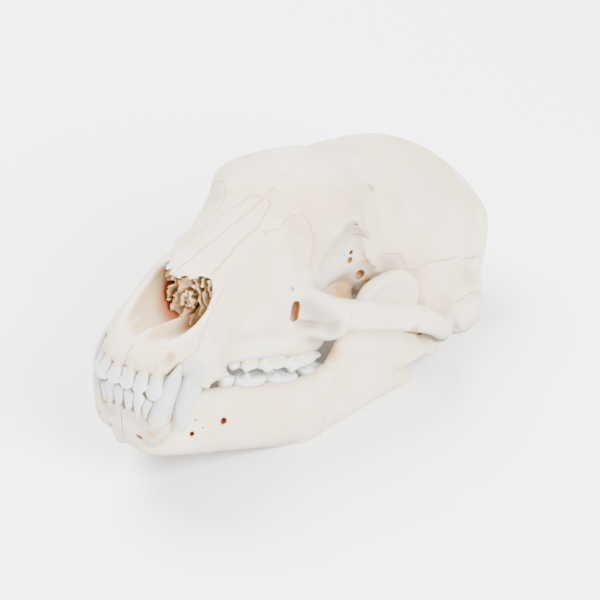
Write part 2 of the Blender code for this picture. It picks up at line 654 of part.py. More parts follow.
def material(name, colour):
    """A plain finish for one bone."""
    finish = bpy.data.materials.new(name)
    finish.use_nodes = True
    shader = finish.node_tree.nodes["Principled BSDF"]
    shader.inputs["Base Color"].default_value = colour
    shader.inputs["Roughness"].default_value = BONE_ROUGHNESS
    shader.inputs["Metallic"].default_value = 0.0
    return finish


def make_cranium():
    """The cranium with its teeth, and the two cheek bones parted from it at their sutures."""
    bone = cranium_bone()
    boolean(bone, "DIFFERENCE", orbit_cutters())
    boolean(bone, "UNION", socket_ridges())
    boolean(bone, "DIFFERENCE", [nose_notch()])
    boolean(bone, "UNION", [nose_tips()])
    boolean(bone, "DIFFERENCE", [body_loft("passage", PASSAGE)])
    boolean(bone, "UNION", [nose_crest()])
    boolean(bone, "DIFFERENCE", base_cutters())
    fuse(bone)
    smooth(bone, SMOOTH_STEPS)
    reduce_to(bone, CRANIUM_TRIANGLES)
    cheeks = []
    for side, name in ((1, "zygomatic_arch_left"), (-1, "zygomatic_arch_right")):
        cheek = copy_of(bone, name)
        outline = [(y + (DRAWN_GAP if k < 2 else -DRAWN_GAP), z) for k, (y, z) in enumerate(CHEEK_BONE)]
        boolean(cheek, "INTERSECT", [cheek_block(outline, side)])
        keep_largest(cheek)
        cheeks.append(cheek)
    boolean(bone, "DIFFERENCE", [cheek_block(CHEEK_BONE, side) for side in (1, -1)])
    boolean(bone, "UNION", upper_teeth())
    boolean(bone, "DIFFERENCE", [lower_canine(side, CANINE_CLEARANCE) for side in (1, -1)])
    keep_largest(bone)
    return [bone] + cheeks


def cheek_block(outline, side):
    """The space that a cheek bone takes between its sutures."""
    inner, outer = sorted((side * CHEEK_INNER, side * 0.1))
    return side_slab("cheek_block", outline, lambda y, z: inner, lambda y, z: outer)


def make_jaws():
    """The two halves of the lower jaw, which meet at the chin."""
    bone = jaw_bone()
    reduce_to(bone, JAW_TRIANGLES)
    boolean(bone, "INTERSECT", [box("half", (DRAWN_GAP / 2, -0.1, -0.1), (0.1, 0.3, 0.1))])
    halves = []
    for side, name in ((1, "mandible_left"), (-1, "mandible_right")):
        half = copy_of(bone, name)
        if side < 0:
            half.data.transform(Matrix.Diagonal((-1, 1, 1, 1)))
            half.data.flip_normals()
        boolean(half, "UNION", lower_teeth(side))
        boolean(half, "DIFFERENCE", [box("split", (-0.02 if side > 0 else -DRAWN_GAP / 2, -0.1, -0.1),
                                         (DRAWN_GAP / 2 if side > 0 else 0.02, 0.06, 0.0))])
        keep_largest(half)
        halves.append(half)
    remove_all([bone])
    return halves


def clear_scene():
    """Starts from an empty scene."""
    remove_all(bpy.data.objects)


def set_down(bones):
    """Tips the skull nose up, brings it to its real length and stands it on small flats at z 0."""
    place = Matrix.Translation(GUM_FRONT) @ Matrix.Scale(SCALE, 4) @ Matrix.Rotation(-NOSE_UP, 4, "X")
    for bone in bones:
        bone.data.transform(place)
        if min(vertex.co.z for vertex in bone.data.vertices) < 0:
            boolean(bone, "DIFFERENCE", [box("floor", (-0.2, -0.3, -0.05), (0.2, 0.3, 0.0))])
            keep_largest(bone)


def main():
    clear_scene()
    cranium, *cheeks = make_cranium()
    bones = [cranium] + cheeks + make_jaws()
    set_down(bones)
    finishes = [("skull_bone", BONE_COLOUR), ("left_cheek_bone", CHEEK_COLOUR),
                ("right_cheek_bone", CHEEK_COLOUR), ("left_jaw_bone", JAW_COLOUR),
                ("right_jaw_bone", JAW_COLOUR)]
    group = bpy.data.collections.new("black_bear_skull")
    bpy.context.scene.collection.children.link(group)
    for bone, (name, colour) in zip(bones, finishes):
        bone.data.materials.clear()
        bone.data.materials.append(material(name, colour))
        bpy.context.scene.collection.objects.unlink(bone)
        group.objects.link(bone)


main()
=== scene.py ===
import math
import time

import bmesh
import bpy
import numpy as np
import openvdb
from mathutils import Matrix, Vector
from mathutils.kdtree import KDTree


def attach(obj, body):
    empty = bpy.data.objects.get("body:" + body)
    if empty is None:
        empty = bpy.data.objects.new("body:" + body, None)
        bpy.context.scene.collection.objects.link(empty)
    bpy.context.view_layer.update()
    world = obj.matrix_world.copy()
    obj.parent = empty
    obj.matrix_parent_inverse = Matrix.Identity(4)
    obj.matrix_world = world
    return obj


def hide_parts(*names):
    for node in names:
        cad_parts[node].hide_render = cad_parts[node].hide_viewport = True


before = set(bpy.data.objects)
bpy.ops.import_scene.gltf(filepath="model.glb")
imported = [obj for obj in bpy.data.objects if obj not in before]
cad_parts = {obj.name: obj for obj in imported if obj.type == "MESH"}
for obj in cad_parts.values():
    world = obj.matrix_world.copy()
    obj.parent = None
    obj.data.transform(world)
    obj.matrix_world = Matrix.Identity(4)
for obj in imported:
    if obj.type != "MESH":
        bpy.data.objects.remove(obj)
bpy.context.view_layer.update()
started = time.time()
print("frame loaded:", ", ".join(sorted(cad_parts)))


def report(text):
    print(f"{time.time() - started:6.1f} s  {text}")


def linked(name, data):
    # a new object in the scene
    obj = bpy.data.objects.new(name, data)
    bpy.context.scene.collection.objects.link(obj)
    return obj


# The bones are drawn in the head's own frame, in millimetres: x to the animal's left, y to the back
# and z up, from the front of the upper gum line. The drawing is 278 mm long, the real skull 195 mm.
head = {"length": 0.195, "drawn": 278.0, "noseUp": 20.0, "gumFront": (0.0, -0.0961, 0.0608),
        "middle": (40.0, 140.0, 20.0), "reach": 180.0}
toReal = head["length"] / head["drawn"]
placeHead = (Matrix.Translation(head["gumFront"]) @ Matrix.Scale(toReal, 4)
             @ Matrix.Rotation(-math.radians(head["noseUp"]), 4, "X"))

# The photograph's view, and the pixel of its 600 px frame where the front of the gum line shows
view = {"azimuth": 36.0, "elevation": 36.0, "distance": 3.0, "pixelsPerMetre": 2709.0,
        "gumPixel": (124.2, 368.4), "frame": 600, "sensor": 36.0}


def viewAxes():
    a, e = math.radians(view["azimuth"]), math.radians(view["elevation"])
    back = Vector((math.sin(a) * math.cos(e), -math.cos(a) * math.cos(e), math.sin(e)))
    right = Vector((math.cos(a), math.sin(a), 0.0))
    return right, back.cross(right), back


def viewPlace(pixel):
    # where the line of sight through a pixel is as far off as the front of the gum line
    right, up, back = viewAxes()
    x, y = ((a - b) / view["pixelsPerMetre"] for a, b in zip(pixel, view["gumPixel"]))
    return Vector(head["gumFront"]) + right * x - up * y


camera = linked("camera", bpy.data.cameras.new("camera"))
camera.data.sensor_width = view["sensor"]
camera.data.clip_end = 100.0
camera.data.lens = view["pixelsPerMetre"] * view["distance"] / view["frame"] * view["sensor"]
camera.location = viewPlace([view["frame"] / 2] * 2) + viewAxes()[2] * view["distance"]
camera.rotation_euler = viewAxes()[2].to_track_quat("Z", "Y").to_euler()
bpy.context.scene.camera = camera


def pixelRay(pixel):
    # the line of sight through a pixel, in the head's frame
    inverse = placeHead.inverted()
    eye, aim = inverse @ camera.location, inverse @ viewPlace(pixel)
    return np.array(eye), np.array((aim - eye).normalized())


# Curves and skins that the clay is built from

def smoothRows(rows, places):
    rows = np.asarray(rows, float)
    knots = rows[:, 0]
    slopes = np.gradient(rows, knots, axis=0)
    left = np.clip(np.searchsorted(knots, places) - 1, 0, len(knots) - 2)
    step = (knots[left + 1] - knots[left])[:, None]
    t = (places - knots[left])[:, None] / step
    start = (2 * t**3 - 3 * t**2 + 1) * rows[left] + (t**3 - 2 * t**2 + t) * step * slopes[left]
    end = (3 * t**2 - 2 * t**3) * rows[left + 1] + (t**3 - t**2) * step * slopes[left + 1]
    return start + end


def smoothPath(points, pieces=8):
    # points along a smooth curve through the given ones, which may hold more columns than a place
    points = np.asarray(points, float)
    steps = np.linalg.norm(np.diff(points[:, :3], axis=0), axis=1)
    along = np.concatenate(([0.0], np.cumsum(steps)))
    table = np.column_stack((along, points))
    return smoothRows(table, np.linspace(0, along[-1], pieces * (len(points) - 1) + 1))[:, 1:]


def loft(rings):
    # points, triangles and quads of a closed skin over rings with equal numbers of points
    rings = np.asarray(rings, float)
    count, around = rings.shape[:2]
    points = np.vstack((rings.reshape(-1, 3), rings[0].mean(0), rings[-1].mean(0)))
    a = np.arange(around)
    b = (a + 1) % around
    last = (count - 1) * around
    quads = np.vstack([np.column_stack((a, b, b + around, a + around)) + around * k
                       for k in range(count - 1)])
    caps = np.vstack((np.column_stack((b, a, np.full(around, count * around))),
                      np.column_stack((a + last, b + last, np.full(around, count * around + 1)))))
    return points, caps, quads


def superRing(powers, around):
    # the unit superellipse, with one power for its upper half and one for its lower half
    angle = math.tau * np.arange(around) / around
    c, s = np.cos(angle), np.sin(angle)
    power = np.where(s > 0, powers[0], powers[1])
    return np.sign(c) * np.abs(c) ** (2 / power), np.sign(s) * np.abs(s) ** (2 / power)


def bodyLoft(table):
    # a body along y, from rows that each hold one section
    step, around = 1.5, 120
    places = np.linspace(table[0][0], table[-1][0], int((table[-1][0] - table[0][0]) / step) + 1)
    rings = []
    for y, halfWidth, middle, top, bottom, upper, lower in smoothRows(table, places):
        across, up = superRing((upper, lower), around)
        height = middle + up * np.where(up > 0, top - middle, middle - bottom)
        rings.append(np.column_stack((halfWidth * across, np.full(around, y), height)))
    return loft(rings)


def planSweep(rows, power=2.6):
    # a bar along a path seen from above: x, y, bottom, top, thickness
    rows = np.asarray(rows, float)
    flat = np.column_stack((rows[:, :2], np.zeros(len(rows)), rows[:, 2:]))
    fine = smoothPath(flat, 10)
    headings = np.gradient(fine[:, :2], axis=0)
    normals = np.column_stack((headings[:, 1], -headings[:, 0]))
    normals /= np.linalg.norm(normals, axis=1)[:, None]
    across, up = superRing((power, power), 48)
    rings = []
    for (x, y, _, bottom, top, thickness), normal in zip(fine, normals):
        offset = across * thickness / 2
        rings.append(np.column_stack((x + normal[0] * offset, y + normal[1] * offset,
                                      (top + bottom) / 2 + up * (top - bottom) / 2)))
    return loft(rings)


def rod(points, widths, depths, across, around=32, power=2.0):
    # a tapering rod, its width along the given direction and its depth square to it
    rows = np.column_stack((np.asarray(points, float), widths, depths))
    fine = smoothPath(rows)
    tangents = np.gradient(fine[:, :3], axis=0)
    wide0 = np.asarray(across, float)
    a, b = superRing((power, power), around)
    rings = []
    for row, tangent in zip(fine, tangents):
        tangent = tangent / np.linalg.norm(tangent)
        wide = wide0 - tangent * wide0.dot(tangent)
        wide /= np.linalg.norm(wide)
        deep = np.cross(tangent, wide)
        rings.append(row[:3] + np.outer(a * row[3] / 2, wide) + np.outer(b * row[4] / 2, deep))
    return loft(rings)


def ball(centre, radii, turn=0.0):
    # an ellipsoid, turned about x
    around = 48
    places = np.linspace(-1, 1, around // 2 + 1)[1:-1]
    places = np.sin(places * math.pi / 2)
    spin = np.array(Matrix.Rotation(math.radians(turn), 3, "X"))
    a, b = superRing((2, 2), around)
    rings = []
    for y in places:
        reach = math.sqrt(1 - y * y)
        ring = np.column_stack((a * reach, np.full(around, y), b * reach)) * radii
        rings.append(ring @ spin.T + centre)
    return loft(rings)


def slab(outline, inner, outer):
    # an outline in y and z, seen from its middle, between two x places
    outline = np.asarray(outline, float)
    rings = [np.column_stack((np.full(len(outline), x), outline)) for x in (inner, outer)]
    return loft(rings)


class Clay:
    # a block of space that keeps, for each of its points, the distance to the bone's skin
    fade = 2.6  # a soft bump or ridge has faded out this many widths away

    def __init__(self, low, high, step, band=12):
        self.step = step
        self.band = band
        self.first = np.floor(np.array(low) / step).astype(int)
        self.shape = np.ceil(np.array(high) / step).astype(int) - self.first
        self.values = np.full(self.shape, band * step, np.float32)

    def window(self, low, high, margin):
        first = np.floor((np.array(low) - margin) / self.step).astype(int) - self.first
        last = np.ceil((np.array(high) + margin) / self.step).astype(int) - self.first
        first = np.clip(first, 0, self.shape - 1)
        last = np.clip(last, first + 1, self.shape)
        return first, last, tuple(slice(a, b) for a, b in zip(first, last))

    def places(self, first, last):
        x, y, z = (self.step * (self.first[k] + np.arange(first[k], last[k], dtype=np.float32))
                   for k in range(3))
        return x[:, None, None], y[None, :, None], z[None, None, :]

    def distances(self, skin, margin):
        points, triangles, quads = skin
        first, last, cut = self.window(points.min(0), points.max(0), margin)
        space = openvdb.createLinearTransform(voxelSize=self.step)
        grid = openvdb.FloatGrid.createLevelSetFromPolygons(
            points.astype(np.float32), triangles=triangles.astype(np.uint32),
            quads=quads.astype(np.uint32), transform=space, halfWidth=float(self.band))
        values = np.zeros(last - first, np.float32)
        grid.copyToArray(values, ijk=tuple(int(v) for v in first + self.first))
        return values, cut

    def melt(self, values, cut, blend):
        # joins a shape to the clay, rounding the inner corners that this makes
        old = self.values[cut]
        mix = np.maximum(blend - np.abs(old - values), 0) / blend
        self.values[cut] = np.minimum(old, values) - mix * mix * blend / 4

    def carve(self, values, cut, blend):
        old = self.values[cut]
        mix = np.maximum(blend - np.abs(old + values), 0) / blend
        self.values[cut] = np.maximum(old, -values) + mix * mix * blend / 4

    def add(self, skin, blend):
        self.melt(*self.distances(skin, blend + self.step), blend)

    def cut(self, skin, blend):
        self.carve(*self.distances(skin, blend + self.step), blend)

    def swell(self, centre, reach, height):
        # raises a soft bump on the skin, or sinks a dent where the height is negative
        reach = np.broadcast_to(np.asarray(reach, float), 3)
        first, last, cut = self.window(centre, centre, self.fade * reach)
        x, y, z = self.places(first, last)
        square = (((x - centre[0]) / reach[0]) ** 2 + ((y - centre[1]) / reach[1]) ** 2
                  + ((z - centre[2]) / reach[2]) ** 2)
        self.values[cut] -= (height * np.exp(-square)).astype(np.float32)

    def away(self, path, margin):
        # how far each point near a path lies from it
        path = np.asarray(path, float)
        outer, far, cut = self.window(path.min(0), path.max(0), margin)
        total = np.full(tuple(far - outer), margin**2, np.float32)
        for a, b in zip(path, path[1:]):
            first, last, _ = self.window(np.minimum(a, b), np.maximum(a, b), margin)
            x, y, z = self.places(first, last)
            along = b - a
            t = (x - a[0]) * along[0] + (y - a[1]) * along[1] + (z - a[2]) * along[2]
            t = np.clip(t / along.dot(along), 0, 1)
            square = (x - a[0] - t * along[0]) ** 2 + (y - a[1] - t * along[1]) ** 2
            square = square + (z - a[2] - t * along[2]) ** 2
            part = total[tuple(slice(p - q, r - q) for p, q, r in zip(first, outer, last))]
            np.minimum(part, square.astype(np.float32), out=part)
        return np.sqrt(total), cut

    def crease(self, path, width, height):
        # raises a ridge along a path, or sinks a groove where the height is negative
        distance, cut = self.away(smoothPath(path, 5), self.fade * width)
        self.values[cut] -= (height * np.exp(-((distance / width) ** 2))).astype(np.float32)

    def drill(self, path, radius, blend=0.8):
        distance, cut = self.away(path, radius + blend + 2 * self.step)
        self.carve(distance - radius, cut, blend)

    def bar(self, path, radius, blend):
        distance, cut = self.away(smoothPath(path, 4), radius + blend + 2 * self.step)
        self.melt(distance - radius, cut, blend)

    def plate(self, outline, middle, half, blend):
        # a plate with a rounded edge, cut to an outline in y and z about a middle surface
        outline = np.asarray(outline, float)
        middles = [middle(y, z) for y, z in outline]
        low = (min(middles) - half, *outline.min(0))
        high = (max(middles) + half, *outline.max(0))
        first, last, cut = self.window(low, high, half + blend + 2 * self.step)
        x, y, z = self.places(first, last)
        y, z = np.broadcast_arrays(y[0], z[0])
        square = np.full(y.shape, 1e6)
        inside = np.zeros(y.shape, bool)
        for (y0, z0), (y1, z1) in zip(outline, np.roll(outline, -1, axis=0)):
            dy, dz = y1 - y0, z1 - z0
            t = np.clip(((y - y0) * dy + (z - z0) * dz) / (dy * dy + dz * dz), 0, 1)
            square = np.minimum(square, (y - y0 - t * dy) ** 2 + (z - z0 - t * dz) ** 2)
            crosses = (z0 > z) != (z1 > z)
            inside ^= crosses & (y < y0 + (z - z0) * dy / (dz if dz else 1e-9))
        flat = np.where(inside, -1, 1) * np.sqrt(square)
        over = np.abs(x - middle(y, z)[None])
        edge = np.maximum(flat + half, 0)[None]
        self.melt((np.hypot(over, edge) - half).astype(np.float32), cut, blend)

    def roughen(self, seed, cell, height):
        # a gentle unevenness of the whole skin, with swellings about one cell apart
        random = np.random.default_rng(seed)
        lattice = random.standard_normal([int(n * self.step / cell) + 3 for n in self.shape])
        for axis, count in enumerate(self.shape):
            at = np.arange(count) * self.step / cell
            i = at.astype(int)
            f = at - i
            f = (f * f * (3 - 2 * f)).reshape([-1 if k == axis else 1 for k in range(3)])
            lattice = np.take(lattice, i, axis) * (1 - f) + np.take(lattice, i + 1, axis) * f
        self.values -= (height * lattice).astype(np.float32)

    def copy(self):
        twin = Clay((0, 0, 0), (1, 1, 1), self.step, self.band)
        twin.first, twin.shape, twin.values = self.first.copy(), self.shape.copy(), self.values.copy()
        return twin

    def mirrored(self):
        # the block with its mirror image on the other side of x = 0, which is its first layer
        both = self.copy()
        both.first[0] = -(self.shape[0] - 1)
        both.values = np.concatenate((self.values[:0:-1], self.values), axis=0)
        both.shape = np.array(both.values.shape)
        return both

    def sample(self, points):
        at = np.clip(np.asarray(points) / self.step - self.first, 0, self.shape - 1.001)
        i = at.astype(int)
        f = at - i
        total = np.zeros(len(at))
        for corner in np.ndindex(2, 2, 2):
            weight = np.prod(np.where(corner, f, 1 - f), axis=1)
            total += weight * self.values[tuple((i + corner).T)]
        return total

    def slope(self, points):
        gradient = np.empty_like(points)
        for axis in range(3):
            offset = np.zeros(3)
            offset[axis] = self.step
            gradient[:, axis] = self.sample(points + offset) - self.sample(points - offset)
        return gradient / np.maximum(np.linalg.norm(gradient, axis=1)[:, None], 1e-6)

    def snap(self, points):
        # moves points to the nearest place on the skin
        points = np.array(points, float)
        for _ in range(6):
            points -= self.slope(points) * self.sample(points)[:, None]
        return points

    def seen(self, pixel):
        # where the line of sight through a pixel first meets the skin, or passes closest to it
        eye, along = pixelRay(pixel)
        middle = (np.array(head["middle"]) - eye).dot(along)
        reach, step = head["reach"], 0.2
        places = eye + np.outer(np.arange(middle - reach, middle + reach, step), along)
        low = (self.first + 1) * self.step
        high = (self.first + self.shape - 2) * self.step
        places = places[np.all((places > low) & (places < high), axis=1)]
        if not len(places):
            return eye
        values = self.sample(places)
        inside = values < 0
        return places[np.argmax(inside) if inside.any() else np.argmin(values)]

    def seenPath(self, pixels):
        return np.array([self.seen(pixel) for pixel in pixels])

    def skin(self):
        space = openvdb.createLinearTransform(voxelSize=self.step)
        grid = openvdb.FloatGrid()
        grid.transform = space
        grid.copyFromArray(np.ascontiguousarray(self.values))
        points, triangles, quads = grid.convertToPolygons(isovalue=0.0, adaptivity=0.0)
        return points + self.first * self.step, triangles, quads


def nasalTips(rows, shape):
    # the free ends of the nasal bones, arched like a tile
    rings = []
    sections, around = 16, 32
    angle = math.tau * np.arange(around) / around
    for y, halfWidth, top in smoothRows(rows, np.linspace(rows[0][0], rows[-1][0], sections)):
        x = halfWidth * np.cos(angle)
        z = top - shape["under"] - shape["drop"] * (x / shape["half"]) ** 2 + shape["thick"] * np.sin(angle)
        rings.append(np.column_stack((x, np.full(around, y), z)))
    return loft(rings)


def fang(rows, extra=0.0):
    rows = np.asarray(rows, float)
    return rod(rows[:, :3], rows[:, 3] + extra, rows[:, 4] + extra, (0, 1, 0))


def toothRing(x, y, length, width, turn, z):
    around, power = 40, 2.7
    along, across = superRing((power, power), around)
    angle = math.radians(turn)
    u, v = along * length / 2, across * width / 2
    return np.column_stack((x + v * math.cos(angle) + u * math.sin(angle),
                            y + u * math.cos(angle) - v * math.sin(angle), np.full(around, z)))


# the line on which the jaw turns in its socket
jawHinge = ((49, 200.5, -1.5), (59, 200.5, -0.5), (68.5, 200.5, -1.5))

